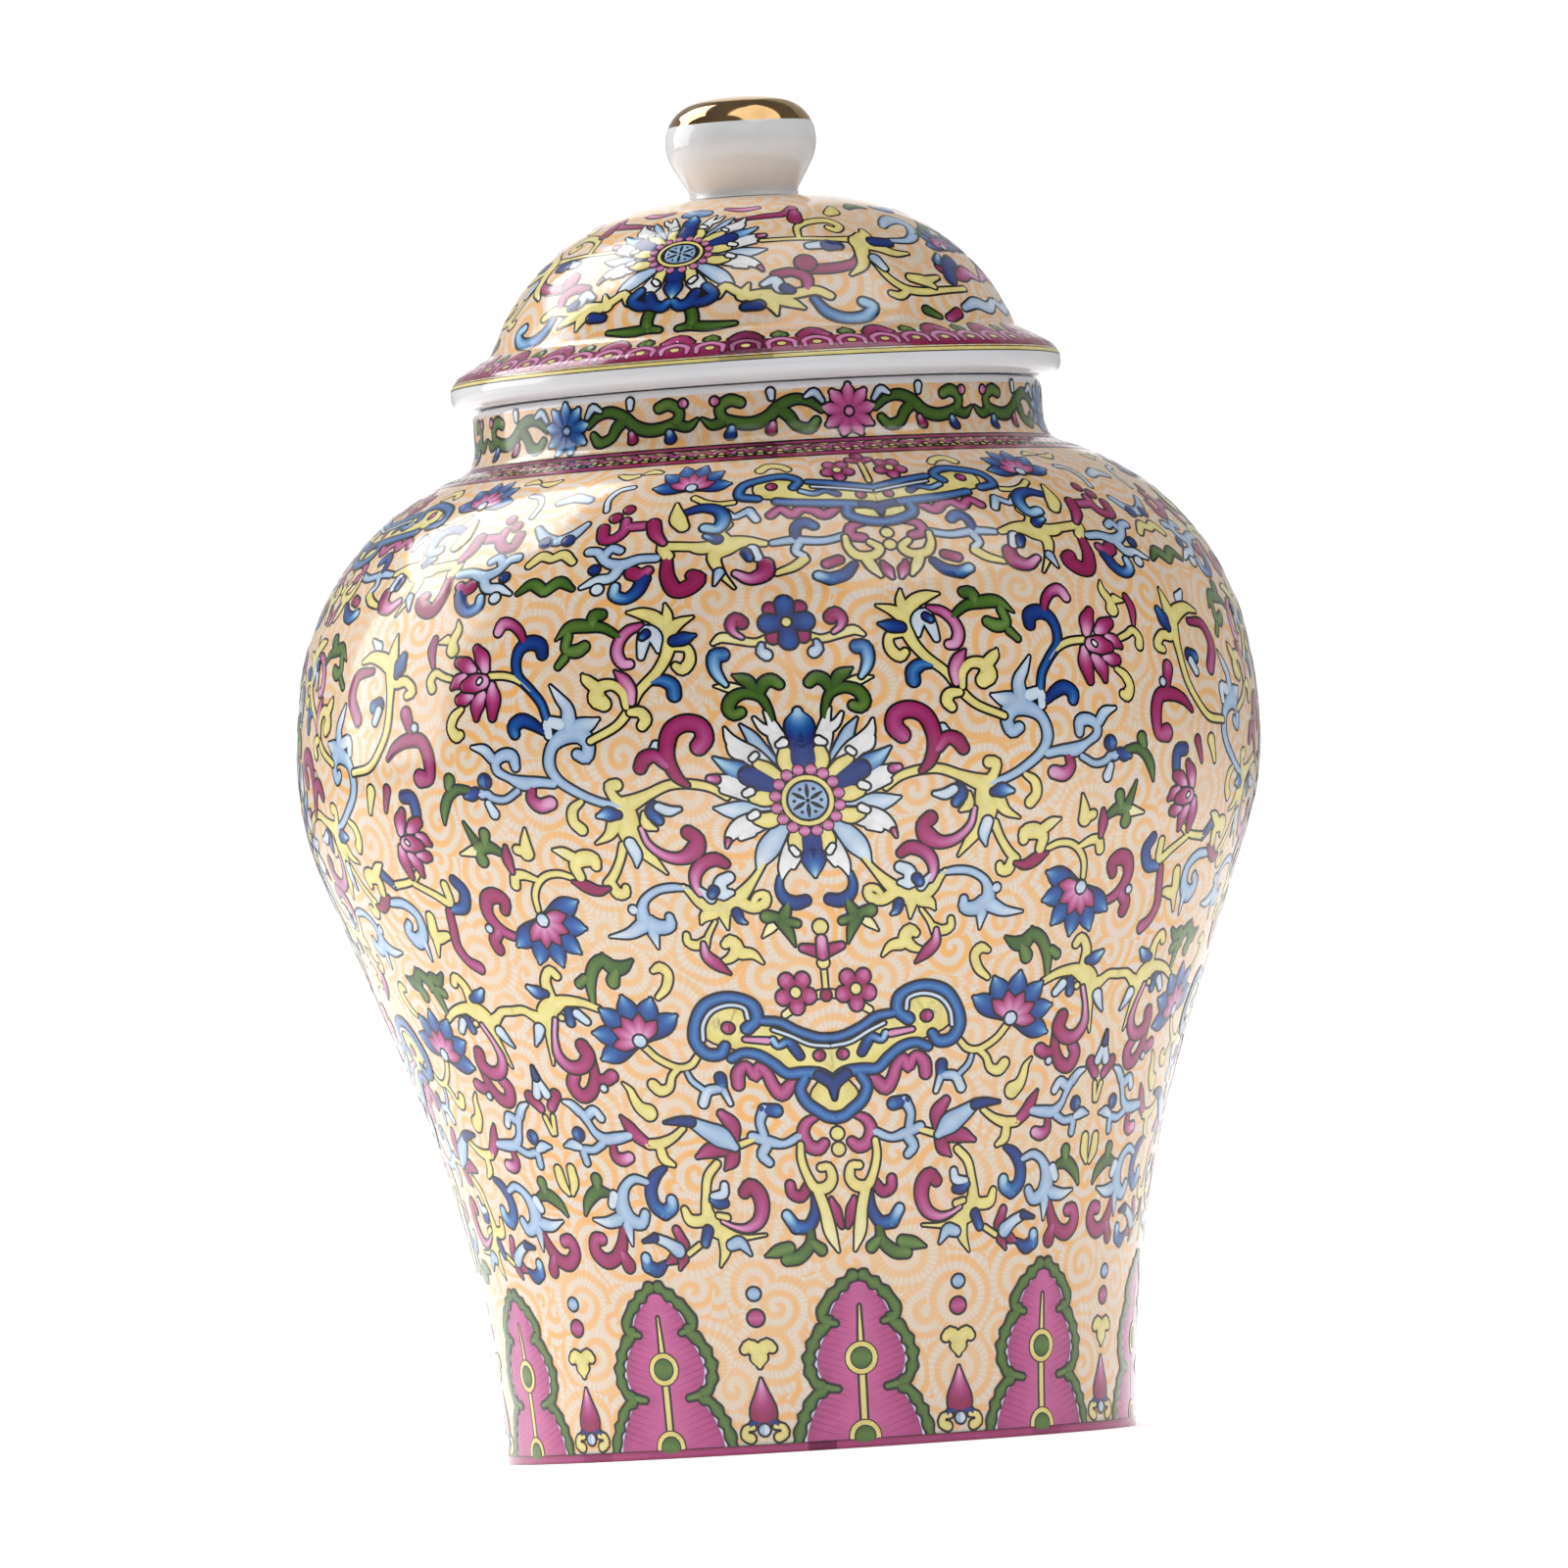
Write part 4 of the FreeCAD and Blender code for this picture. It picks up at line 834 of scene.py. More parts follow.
lappet = Painting()
LAPPET_HALF = ((0.9, 14.2), (4, 13.6), (8, 12.0), (11.2, 9.8), (12.5, 7.6), (13.6, 9.6), (17.5, 10.9),
               (21.5, 9.9), (24.6, 7.9), (25.8, 6.3), (27, 7.7), (29.6, 6.8), (32.2, 4.6), (35.6, 0.6))
lappet.stroke("pink", [(0, s, w - 0.8) for s, w in LAPPET_HALF], (0.42, 0.42), 0, 0.4, True)
for k in range(24):
    root = 1.2 + 1.42 * k
    reach = np.interp(root + 1.4, *zip(*LAPPET_HALF)) - 1.7
    if reach > 1.2:
        lappet.stroke("pink", [(0.9, root, 0.26), (reach, root + 0.32 * reach, 0.26)], (0.0, 0.0),
                      0, 0)
pale_edge = [(w - 1.5, s) for s, w in LAPPET_HALF[:-1]]
lappet.stroke("sky", [(x, s, 0.24) for x, s in pale_edge], (1, 1), 1, 0)
rim_edge = smooth_path([(w, s, 0.85, 0) for s, w in LAPPET_HALF])
scallop = np.cumsum(np.hypot(*np.diff(rim_edge[:, :2], axis=0, prepend=rim_edge[:1, :2]).T))
lappet.stroke("green", np.column_stack([rim_edge[::2, :2],
                                        0.9 + 0.36 * np.cos(scallop[::2] * 2 * pi / 3.1)]),
              (0.35, 0.35), 2)
lappet.table("""
green mm 2 8.6,13,.7 6.4,12.4,.6 5.2,12.2,.5
green mm 2 6.6,26,.7 5,25.6,.5
yellow mm 1 0,3,.55 0,14,.55 0,22,.4 0,29,.1
outline mm 0 0,26,.3 0,34,.45 0,35.4,.1
""")
for s, enamel, radius in ((18.3, "yellow", 3.3), (18.3, "green", 2.1), (2.3, "yellow", 3.3),
                          (2.3, "green", 2.1)):
    lappet.dot(enamel, 0, s, radius, 0.35 if enamel == "green" else 0.5, 2 + (enamel == "green"),
               0.25)

between = Painting()
between.dot("sky", 0, 32.7, 1.25, 0.4, 0)
between.dot("magenta", 0, 27.7, 1.6, 0.5, 0)
between.table("""
yellow mm 1 .2,20.8,1.3 1.9,22,1.3 2.8,21.4,.9
yellow mm 1 0,21,1.5 0,19,1.6 0,17.8,.4
magenta pd 1 0,15.2,.1 0,12.6,1.2 0,9.6,2.5 0,8,2.7
sky mp 2 0,4.8,1.1
blue dd 1 .6,6.2,.6 2.2,6.4,.5 2.9,5.6,.4
yellow mm 1 2.4,5.4,.5 3.9,5.2,.6 4.2,3.8,.8 3,3.2,.9
""")
base_line = Painting()
base_line.stroke("magenta", [(x, 0.9, 0.8) for x in range(-3, 58, 12)], (0.35, 0.35), 3, 0.15, True)

# ---------------------------------------------------------------- shoulder painting

shoulder = Painting()
shoulder.stroke("yellow", [(0, 202.2, 1.9), (7.7, 203.4, 2.6), (15.5, 204.8, 2.9), (22.6, 206.0, 3.1)],
                level=1)
shoulder.stroke("yellow", [(0, 197.6, 2.4), (3.0, 198.0, 2.2)], level=0)
shoulder.table("""
blue mm 2 0,204.6,.7 7.7,206.5,.75 13.6,207.6,.7
blue mm 2 17,206,.9 15.7,208,.9 18.6,210,.9 24,209.2,.9 28,207.4,.9 28.8,204.2,.9 25,203,.8
blue mm 2 21,201.9,.8 16,201,.8 7.7,200.1,.9 3.4,199.6,.8
blue mm 2 6.6,199.4,.8 6.8,196.9,.9 3.4,195,.9 0,194.4,.9
blue dd 3 0,196.6,.3 .6,198.8,.8 3.2,199.6,.7
sky pp 3 .5,203.4,.25 7.7,204.9,.25 13,205.8,.25
magenta dm 2 21.8,206.6,1
magenta dm 2 3,202.4,.9
blue dp 2 8,203,.6 10.4,204.4,.6 13,203.6,.6 15.6,204.6,.5
magenta mm 0 9,198.8,.8 11.6,197.2,1.1 13.8,198.8,1 16,199.4,1 18,197.8,1 20.4,199.6,.8 22.4,198,.9
magenta dm 0 0,217,1.3
magenta dm 0 0,214.4,.8 2.4,215.4,.9
yellow mm 0 0,213.8,.5 0,207,.5
yellow mm 0 24,213,1 22,214.6,.9 19,214,.8 17.7,212.8,.8
yellow mm 0 30,202.4,.5 33,202.2,.5 36,203,.6 38.4,204.6,.6
sky mp 0 26.8,199.6,.9 25.4,197,.7
sky mp 0 27.4,199.4,.7 29.8,198.2,.6 31.6,200,.5
blue dp 1 40.2,200.2,.6 36.3,201.3,1 33.1,200.2,1.2 32,197.7,1.3 33.1,195.2,1.1 35.6,195.6,1
yellow mm 2 42,203,.2 41.3,198.4,1.6 40.2,196.3,1.2
magenta dm 1 46.3,197.7,1.3 45.6,194.9,1.2 43.8,192.4,.6
yellow mm 0 32,192,.9 35.6,190.9,.9 41.3,191.3,.9 44,191.4,.9 42.7,189.1,1.1
magenta dd 0 42.7,187.7,.9 42.4,184.1,1.2 40.6,180.9,1.4 38.1,181.6,1.5 36.7,183.4,1.4 37.7,184.1,1.1
sky mm 0 44.9,188.8,.8 48.4,188.8,.9 51.7,187.7,1.2 54.9,188.8,.9 57,191.3,.9 58.8,191.6,.9
sky mm 0 55.6,189.9,.8 54.2,192,.9 52.4,191.3,.8
sky mp 0 51.7,187.7,1.1 53.4,184.9,1 56.3,184.5,.9 59.2,183.1,.3
blue dd 1 57,187,1
sky pp 1 55.9,182.4,1.1
magenta dm 0 49.2,185.6,1.4 47.7,184.9,1.2 46.3,185.9,.9
blue dp 0 47,184.1,1.2 48.1,181.3,1.1 50.2,179.9,1 52.4,180.9,1 52.4,182.7,.8
magenta dd 1 52.4,202.4,1.1
magenta dd 1 54.9,200.2,1.2
magenta dm 0 57,197.4,1.1 56.3,194.5,1.1 54.2,194.5,1 52.4,196.3,1 52.4,199.1,.9
magenta mm 0 51.3,197.4,1 48.4,197.4,1
sky pp 0 57.7,202.7,.5 58.1,206.3,.5 56.3,209.1,.5 53.4,209.9,.5
blue dd 1 64.2,194.9,1.2
yellow mm 0 53.6,214.4,.5 56,214,.9 58.4,215,.4
yellow mm 0 48,215,.4 50,215.6,.8 52,215,.3
magenta mm 0 3.4,194.6,.4 6.8,193.6,.9 7.2,191.4,1 5,190.6,.9
yellow mm 0 0,191.6,1.1
yellow mm 0 0,188.6,1.1
yellow mm 1 8.4,191,.5 8.2,188.6,.7 6.8,186.4,.9 3.6,186.2,.9 2.2,187.8,.8 3.8,189.4,.6
yellow mp 1 5.4,186,.9 4.2,183.4,.9 3,181.4,.3
magenta dp 0 2.2,184.4,.3 1.6,182.6,1 .9,180.9,.3
sky mm 0 8.4,191.4,.7 12.6,190.4,.7 18.6,191,.8 22.4,190.6,.6
blue dm 0 18,191.4,.7 17.6,194.4,.9 15.9,195.5,1.1 14.2,194.4,.9
sky mp 0 17.4,190.4,.8 18.2,188.2,.7 16.8,187,.6
yellow mm 0 24,190.6,.6 28,191.4,1.2 31.4,190.5,2 33.6,188.2,1.3 32.6,184.6,.7 30,180.6,.1
yellow mm 0 31.4,191.6,1.4 32.6,194.2,1 31.2,196.2,.9
yellow mm 0 33.6,190.6,1.3 36.8,190.2,.9 40,191.6,.1
blue dp 1 33.2,192.4,1 35.4,193.4,.4
sky pp 1 26.4,189.2,1.1 25.4,187.2,.8
blue dm 2 27.6,188.6,.8 27,187.2,.6
magenta dp 1 24,185.6,1.3 24.2,183.6,1.5 27,182.4,1.1 29.6,183.8,.6
sky mp 1 32.7,184.3,.9 33.6,181.6,.1
yellow mm 0 16.8,186.2,.9 18.8,184.6,.8 22,183.4,.5
blue dm 0 7.7,184.2,.6 9.6,182.2,1 12.4,181.3,1.1
blue mp 0 12.4,181.3,1.1 14.4,182.2,.9
magenta dm 0 10.4,185.6,.9 12.6,184.8,.9
sky mm 0 61,199,.6 63.6,196.2,1.1 66.6,195,1
green dm 0 61,183,.4 63.8,184.8,1.1 66.6,183,1
yellow mm 0 62,189.4,.7 64.4,191.4,1 66.6,190.6,.8
sky mp 0 63,206.6,.9 66.6,207.8,1.2
""")
blossom(shoulder, "magenta", 6.3, 211.4, 2.9, (0.0, 0.5))
lotus(shoulder, 39.5, 208.0, 0, 0.85)

# ---------------------------------------------------------------- neck painting

collar = Painting()
for k in range(26):
    x = 3.7 * k
    collar.stroke("magenta", [(x - 1.5, 221.0, 0.4), (x - 1.2, 223.6, 0.55), (x, 224.6, 0.6),
                              (x + 1.2, 223.6, 0.55), (x + 1.5, 221.0, 0.4)], (0.25, 0.7), 0)
    collar.dot("yellow", x, 222.4, 0.5, 0.6, 1)
    collar.dot("green" if k % 2 else "yellow", x + 1.85, 221.2, 0.45, 0.5, 1)
collar.stroke("magenta", [(x, 219.6, 0.8) for x in range(-3, 106, 12)], (0.2, 0.2), 0)
collar.stroke("magenta", [(x, 226.4, 0.45) for x in range(-3, 106, 12)], (0.3, 0.3), 0)

NECK_SCROLL = """
green dm 1 5.8,233.8,.5 8.4,235.6,.7 11.2,236.2,.9 14.4,235,1 17,232.8,1.1 20,231.8,1.1 23.6,232.2,1
  26.2,233.4,.9 26.6,235.4,.9 24.4,236.8,1 22.4,236.2,.9
green dm 1 25.6,232.8,.9 28.4,232,.8 30.4,233.4,.1
green dm 1 14.8,234.6,1 12.6,232.8,1 11.2,230.8,.9 8.6,230,1 7,231.6,.7
sky pp 2 16.1,238,.7 16,236.8,.5
blue dp 2 24.7,229.6,1 24.4,231,.6
magenta dp 2 16.4,230,.9 16,231.4,.5
pink mp 2 27.6,236.8,.8
sky mp 2 5.6,235.6,.4 7.2,237.4,.7 9,236.6,.3
"""
neck_pink, neck_blue = Painting(), Painting()
for sheet, enamel in ((neck_pink, "pink"), (neck_blue, "blue")):
    sheet.table(NECK_SCROLL)
    daisy(sheet, enamel, 233.2)

# ---------------------------------------------------------------- lid painting

lid = Painting()
lid.table("""
blue dm 2 4.6,21.6,.9 3.4,19.4,1 1.6,18.8,1 .6,19.8,.7
blue dm 2 3.4,19.4,.9 6.4,19.6,1 8,21,.9 6.6,23,.8
green dm 1 3.8,18.2,.9 4.3,15.6,.9 4,14,.8
green dm 1 4,14,.8 7,13.6,.9 11.8,13.9,.3
green dm 1 4,14,.8 1.8,13.6,.5
yellow mm 1 8.6,20.6,.8 10.2,22.8,.8 11.9,21.6,.8 14,20.2,1 17.2,19.8,1.5 22.6,19.9,1 27.2,20.4,.9
  29.4,19,.8
yellow mm 1 13.4,20.2,1.2 14.6,22.9,.2
yellow mm 1 16.8,19.6,1.6 18.6,17.8,1.2 19.3,15.2,.1
yellow mm 1 19.6,19,1.3 22.4,17.6,.9 24.2,16.4,.2
sky pp 2 17.4,22.6,.5 19.6,23.6,.9 20.4,21.4,1.1 22,20.6,.5
blue dd 3 21.4,21.3,.9 22.4,20.7,.6
magenta dm 1 20,24.9,.9 23,25.4,.9 25.7,23.8,1 25.6,21.2,.7
blue dd 2 13.7,17.4,.7 16.2,17.7,1
blue mp 1 26.4,18.4,.6 28.4,15.2,1 31.6,13.6,1.1 35.4,14,1.1 37.2,16.2,1 35.6,17.2,1
magenta dd 1 26.3,27.7,2.1
magenta dm 0 26.6,25.9,1 32,26,1.1 36.8,27.3,.8 38.8,29.8,.4
yellow mm 0 18,35.2,.35 27,35.2,.35 34,34.6,.45 38.4,34.2,.8
yellow mm 0 26.7,35.8,.5 27.4,39.2,.7 31.4,41.2,.8 36.6,41.2,.9 38.4,39,.9 36.6,37.6,.8 35.2,38.6,.7
sky pp 1 28.2,32.6,.8 31.2,32.8,1
blue dd 2 32.6,32.5,1.4 35,32.2,.9
yellow mm 1 40.2,33,2.1 43.4,35.6,1.5 43.6,36.6,.8
yellow mm 1 40.2,33.4,1.9 44.4,31.4,1.3 47.6,29.6,.9 51.4,29.4,.2
yellow mm 1 40.2,32.2,1.8 39.4,29.4,1.4 38.2,26.4,1 35,24,.2
blue dd 2 44,33.2,1.2 48,32.8,1.1
sky mp 2 41.8,28,1.2 42.8,25.4,.7
sky mm 0 49.2,33.5,.5 55.2,33.6,.8 59.8,36,1.2 62.2,39.4,1.6 59.2,41.4,1.6 54,40.2,1.2 51.4,38.6,.7
yellow mm 0 41.2,27.2,.5 43,22.6,.7 45.8,20,.8 49.2,19.3,.8 55.2,19.6,.6 62.2,20,.5
yellow mm 0 46,19.6,.6 43.6,18.4,.8 42,19,.6
yellow mm 1 48,22.8,.9 51.4,21.8,1.2 53,20.4,.5
yellow mm 1 51.6,22,1 55.4,22.8,.4
magenta dp 0 58.4,25.4,1.3 63.8,23.4,1.4 67.4,24.4,1.5 71.4,22.6,.4
blue dd 1 59.4,22.6,1.5 61.2,25.4,1.6 64.2,27.4,1.4
blue mp 2 58.6,27,.9 60.8,28.8,.5
green dm 0 59.2,35.6,.3 65.2,36.8,.9 70.2,38.8,1.1 72.2,41,.4
sky mp 0 59,15.4,.7 63.4,16.6,1.2 68.2,15.6,1.2 71.4,17,.9
magenta dm 0 56.4,14.2,1 53.6,12.9,.9
green dm 0 48.6,14.9,.9 51,13.4,.5
magenta dm 0 12.4,43.5,.3 20.2,44.6,.8 25.8,45.3,1 29.2,47.8,1.4
magenta dm 1 27.9,42.6,1.8 28.9,45.4,1.4
yellow md 0 38.6,44.4,1 41.2,45.8,1.7 42.4,47.6,.8
green dm 0 47.6,47,.6 51.4,48.4,1.2 55.4,47.4,.5
sky dd 0 0,48,1.9 3.4,48,1.3
magenta mp 0 9,49.6,.5 14,48.6,.9 19,49.4,.6
blue mm 0 60,47.6,.6 64.6,46,1.2 69,47,.8
""")
lotus(lid, 66.6, 31.4, 0, 0.6)
medallion(lid, 32.6, 0.74, 1.36)

brim = Painting()
brim.stroke("magenta", [(x, 5.2, 2.4) for x in range(-4, 153, 12)], (0.05, 0.05), 0, 0.2)
for k in range(27):
    x = 5.55 * k
    brim.stroke("pink", [(x - 2.0, 3.8, 0.3), (x - 1.9, 6.0, 0.5), (x, 7.3, 0.6), (x + 1.9, 6.0, 0.5),
                         (x + 2.0, 3.8, 0.3)], (0.7, 1.0), 1, 0.2)
    brim.dot("yellow", x, 5.1, 0.7, 0.5, 1, 0.2)
    if k % 2:
        brim.stroke("green", [(x - 0.6, 8.8, 0.6), (x, 9.8, 0.95), (x + 0.6, 8.8, 0.6)], (0.4, 0.4), 0)
    else:
        brim.stroke("magenta", [(x - 1.9, 8.4, 0.8), (x, 10.0, 1.35), (x + 1.9, 8.4, 0.8)],
                    (0.1, 0.5), 0)
brim.stroke("yellow", [(x, 1.7, 0.35) for x in range(-4, 153, 12)], (0.5, 0.5), 1, 0.2)


# ---------------------------------------------------------------- materials

def new_material(name):
    """A material with its Principled shader, and a function that adds and links nodes."""
    material = bpy.data.materials.new(name)
    material.use_nodes = True
    tree = material.node_tree
    shader = tree.nodes["Principled BSDF"]

    def node(kind, settings=None, **links):
        made = tree.nodes.new(kind)
        for key, value in (settings or {}).items():
            setattr(made, key, value)
        for key, value in links.items():
            socket = made.inputs[int(key[1:])] if key[1:].isdigit() else made.inputs[key]
            if isinstance(value, bpy.types.NodeSocket):
                tree.links.new(value, socket)
            else:
                socket.default_value = value
        return made

    return material, tree, shader, node


def glaze_gloss(shader, roughness):
    """The shine of clear fired glaze."""
    shader.inputs["Roughness"].default_value = roughness
    shader.inputs["IOR"].default_value = 1.5
    shader.inputs["Coat Weight"].default_value = 0.3
    shader.inputs["Coat Roughness"].default_value = 0.05


def ripple(tree, shader, node, scale, height):
    """The slight unevenness of fired glaze."""
    spot = node("ShaderNodeTexCoord").outputs["Object"]
    noise = node("ShaderNodeTexNoise", Vector=spot, Scale=scale, Detail=2.0)
    bump = node("ShaderNodeBump", Height=noise.outputs["Fac"], Distance=height)
    bump.inputs["Strength"].default_value = 1.0
    tree.links.new(bump.outputs["Normal"], shader.inputs["Normal"])
    return noise


def rgb(colour):
    """An sRGB colour as the linear one, with alpha, that a socket takes."""
    return (*(float(c) for c in linear(colour)), 1.0)


def enamel_material(name):
    """Fired enamel: the strokes' own colours, a little uneven where the brush was wetter."""
    material, tree, shader, node = new_material(name)
    glaze_gloss(shader, 0.16)
    noise = ripple(tree, shader, node, 260.0, 0.00006)
    colour = node("ShaderNodeAttribute", {"attribute_name": "enamel"}).outputs["Color"]
    wetness = node("ShaderNodeMapRange", Value=noise.outputs["Fac"], _1=0.3, _2=0.7, _3=0.9, _4=1.06)
    mixed = node("ShaderNodeVectorMath", {"operation": "SCALE"}, _0=colour,
                 Scale=wetness.outputs["Result"])
    tree.links.new(mixed.outputs["Vector"], shader.inputs["Base Color"])
    return material


def scrolled_glaze(name):
    """The printed ground: cream glaze covered in pale orange spirals over fine white rays."""
    material, tree, shader, node = new_material(name)
    glaze_gloss(shader, 0.14)
    ripple(tree, shader, node, 45.0, 0.00008)
    where = node("ShaderNodeTexCoord")
    spot, normal = where.outputs["Object"], where.outputs["Normal"]

    def maths(operation, first, second=0.0, third=0.0):
        return node("ShaderNodeMath", {"operation": operation}, _0=first, _1=second,
                    _2=third).outputs[0]

    def vector(operation, first, second=(0, 0, 0)):
        made = node("ShaderNodeVectorMath", {"operation": operation}, _0=first, _1=second)
        return made.outputs["Value" if operation == "DOT_PRODUCT" else "Vector"]

    cells = node("ShaderNodeTexVoronoi", {"feature": "F1"}, Vector=spot, Scale=SPIRALS_PER_METRE,
                 Randomness=0.75)
    offset = vector("SUBTRACT", spot, cells.outputs["Position"])
    round_way = vector("NORMALIZE", vector("CROSS_PRODUCT", (0, 0, 1), normal))
    up_way = vector("CROSS_PRODUCT", normal, round_way)
    across = vector("DOT_PRODUCT", offset, round_way)
    up = vector("DOT_PRODUCT", offset, up_way)
    reach = maths("SQRT", maths("ADD", maths("MULTIPLY", across, across),
                                maths("MULTIPLY", up, up)))
    turn = maths("DIVIDE", maths("ARCTAN2", up, across), 2 * pi)
    handed = maths("SIGN", maths("SUBTRACT", node("ShaderNodeSeparateColor", _0=cells.outputs[
        "Color"]).outputs[0], 0.5))
    wobble = node("ShaderNodeTexNoise", Vector=spot, Scale=120.0, Detail=1.0).outputs["Fac"]
    phase = maths("ADD", maths("MULTIPLY_ADD", reach, 1 / (SPIRAL_PITCH * MM),
                               maths("MULTIPLY", turn, handed)), maths("MULTIPLY", wobble, 0.7))
    wave = maths("ABSOLUTE", maths("SUBTRACT", maths("FRACT", phase), 0.5))
    scroll = node("ShaderNodeMapRange", {"interpolation_type": "SMOOTHSTEP"}, Value=wave,
                  _1=0.12, _2=0.36, _3=1.0, _4=0.0).outputs["Result"]
    patchy = node("ShaderNodeTexNoise", Vector=spot, Scale=55.0, Detail=2.0).outputs["Fac"]
    strength = node("ShaderNodeMapRange", Value=patchy, _1=0.3, _2=0.7, _3=0.45, _4=1.0)
    rays = maths("FRACT", maths("MULTIPLY_ADD", turn, 34.0, maths("MULTIPLY", wobble, 2.0)))
    hatch = node("ShaderNodeMapRange", {"interpolation_type": "SMOOTHSTEP"},
                 Value=maths("ABSOLUTE", maths("SUBTRACT", rays, 0.5)), _1=0.05, _2=0.25, _3=0.5,
                 _4=0.0).outputs["Result"]

    def mix(factor, first, second):
        made = node("ShaderNodeMix", {"data_type": "RGBA"}, _0=factor, _6=first, _7=second)
        return made.outputs[2]

    rayed = mix(hatch, mix(patchy, rgb(GROUND_WARM), rgb(GROUND_COOL)), rgb(GROUND_RAY))
    scrolled = mix(maths("MULTIPLY", scroll, strength.outputs["Result"]), rayed,
                   rgb(GROUND_SCROLL))
    tree.links.new(scrolled, shader.inputs["Base Color"])
    return material


def white_glaze(name, colour):
    """Clear glaze on white porcelain, with faint clouds."""
    material, tree, shader, node = new_material(name)
    glaze_gloss(shader, 0.1)
    noise = ripple(tree, shader, node, 60.0, 0.0001)
    ramp = node("ShaderNodeMix", {"data_type": "RGBA"}, _0=noise.outputs["Fac"],
                _6=rgb([c * 0.965 for c in colour]), _7=rgb(colour))
    tree.links.new(ramp.outputs[2], shader.inputs["Base Color"])
    return material


def bare_biscuit(name):
    """The unglazed foot ring: matt, sandy and a little stained."""
    material, tree, shader, node = new_material(name)
    shader.inputs["Roughness"].default_value = 0.85
    noise = ripple(tree, shader, node, 900.0, 0.00015)
    ramp = node("ShaderNodeMix", {"data_type": "RGBA"}, _0=noise.outputs["Fac"],
                _6=rgb((0.78, 0.73, 0.66)), _7=rgb((0.93, 0.90, 0.85)))
    tree.links.new(ramp.outputs[2], shader.inputs["Base Color"])
    return material


def bright_gold(name):
    """Burnished gilding, brushed round by hand and slightly thin in places."""
    material, tree, shader, node = new_material(name)
    shader.inputs["Metallic"].default_value = 1.0
    noise = ripple(tree, shader, node, 150.0, 0.00010)
    ramp = node("ShaderNodeMix", {"data_type": "RGBA"}, _0=noise.outputs["Fac"],
                _6=rgb((0.62, 0.47, 0.30)), _7=rgb((0.86, 0.72, 0.52)))
    tree.links.new(ramp.outputs[2], shader.inputs["Base Color"])
    dull = node("ShaderNodeMapRange", Value=noise.outputs["Fac"], _1=0.3, _2=0.7, _3=0.04, _4=0.12)
    tree.links.new(dull.outputs["Result"], shader.inputs["Roughness"])
    return material


SPIRALS_PER_METRE = 78.0
SPIRAL_PITCH = 3.3
GROUND_WARM = (0.955, 0.825, 0.655)
GROUND_COOL = (0.90, 0.855, 0.82)
GROUND_RAY = (0.945, 0.93, 0.915)
GROUND_SCROLL = (0.98, 0.735, 0.42)

enamel_materials = {name: enamel_material(f"enamel_{name}") for name in ENAMELS}
ground = scrolled_glaze("scrolled_ground")
white = white_glaze("white_porcelain", (0.955, 0.955, 0.965))

# ---------------------------------------------------------------- the jar

# the radius each sheet is drawn for, which turns its x into an angle
BELLY_DRAWN, WAIST_DRAWN, SHOULDER_DRAWN, COLLAR_DRAWN = 97.0, 80.0, 85.0, 61.0
NECK_DRAWN, FOOT_DRAWN, LID_DRAWN = 59.0, 67.0, 46.0
# where the mirrored copy of a sheet lies along x
BELLY_REPEAT, WAIST_REPEAT = 159.14, 131.24
LEAN = -0.0326         # degrees of turn for each millimetre up the belly
upper_half = {"bend": ((-66, 66, 94, 122), (-66, 66, 90, 114)), "lean": LEAN, "pivot": 136.5}
FRONT_BACK = (3, 183)

lay(front, JAR, "belly_front", "jar", BELLY_DRAWN, FRONT_BACK, ((1, 0), (-1, BELLY_REPEAT)),
    **upper_half)
lay(flank, JAR, "belly_side", "jar", BELLY_DRAWN, FRONT_BACK, **upper_half)
lay(waist, JAR, "waist", "jar", WAIST_DRAWN, FRONT_BACK, ((1, 0), (-1, WAIST_REPEAT)), **upper_half)
lay(shoulder, JAR, "shoulder", "jar", SHOULDER_DRAWN, (16, 106, 196, 286))
lay(collar, JAR, "neck_root", "jar", COLLAR_DRAWN, (0, 180))
lay(neck_pink, JAR, "neck_pink", "jar", NECK_DRAWN, (18.4, 138.4, 258.4))
lay(neck_blue, JAR, "neck_blue", "jar", NECK_DRAWN, (78.4, 198.4, 318.4))
lay(lappet, JAR, "lappet", "jar", FOOT_DRAWN, [7.8 + 36 * k for k in range(10)])
lay(between, JAR, "between", "jar", FOOT_DRAWN, [25.8 + 36 * k for k in range(10)])
lay(base_line, JAR, "base_line", "jar", FOOT_DRAWN, (0, 90, 180, 270))
lay(lid, LID, "lid_scrolls", "lid", LID_DRAWN, (-18.4, 161.6))
lay(brim, LID, "brim", "lid", LID_DRAWN, (-1.5,))

NECK = 59.2
RIM_ROUND = 1.6
FOOT_ROUND = 1.2
RECESS, RECESS_DEPTH = 58.6, 3.5
FLOOR_TOP, FLOOR_ROUND = 9.5, 9.0
rim = RIM_ROUND - ENAMEL_ROOM
rim_low = JAR_HIGH.z - RIM_ROUND

outside = [point for point in jar_wall(ENAMEL_ROOM, JAR_LOW.z)
           if JAR_LOW.z + FOOT_ROUND < point[1] < rim_low]
inside = [point for point in jar_wall(WALL - ENAMEL_ROOM, FLOOR_TOP + FLOOR_ROUND)
          if point[1] < rim_low]
foot_edge = outside[0][0]
neck_edge = (NECK - ENAMEL_ROOM, rim_low)
round_centre = inside[0][0] - FLOOR_ROUND

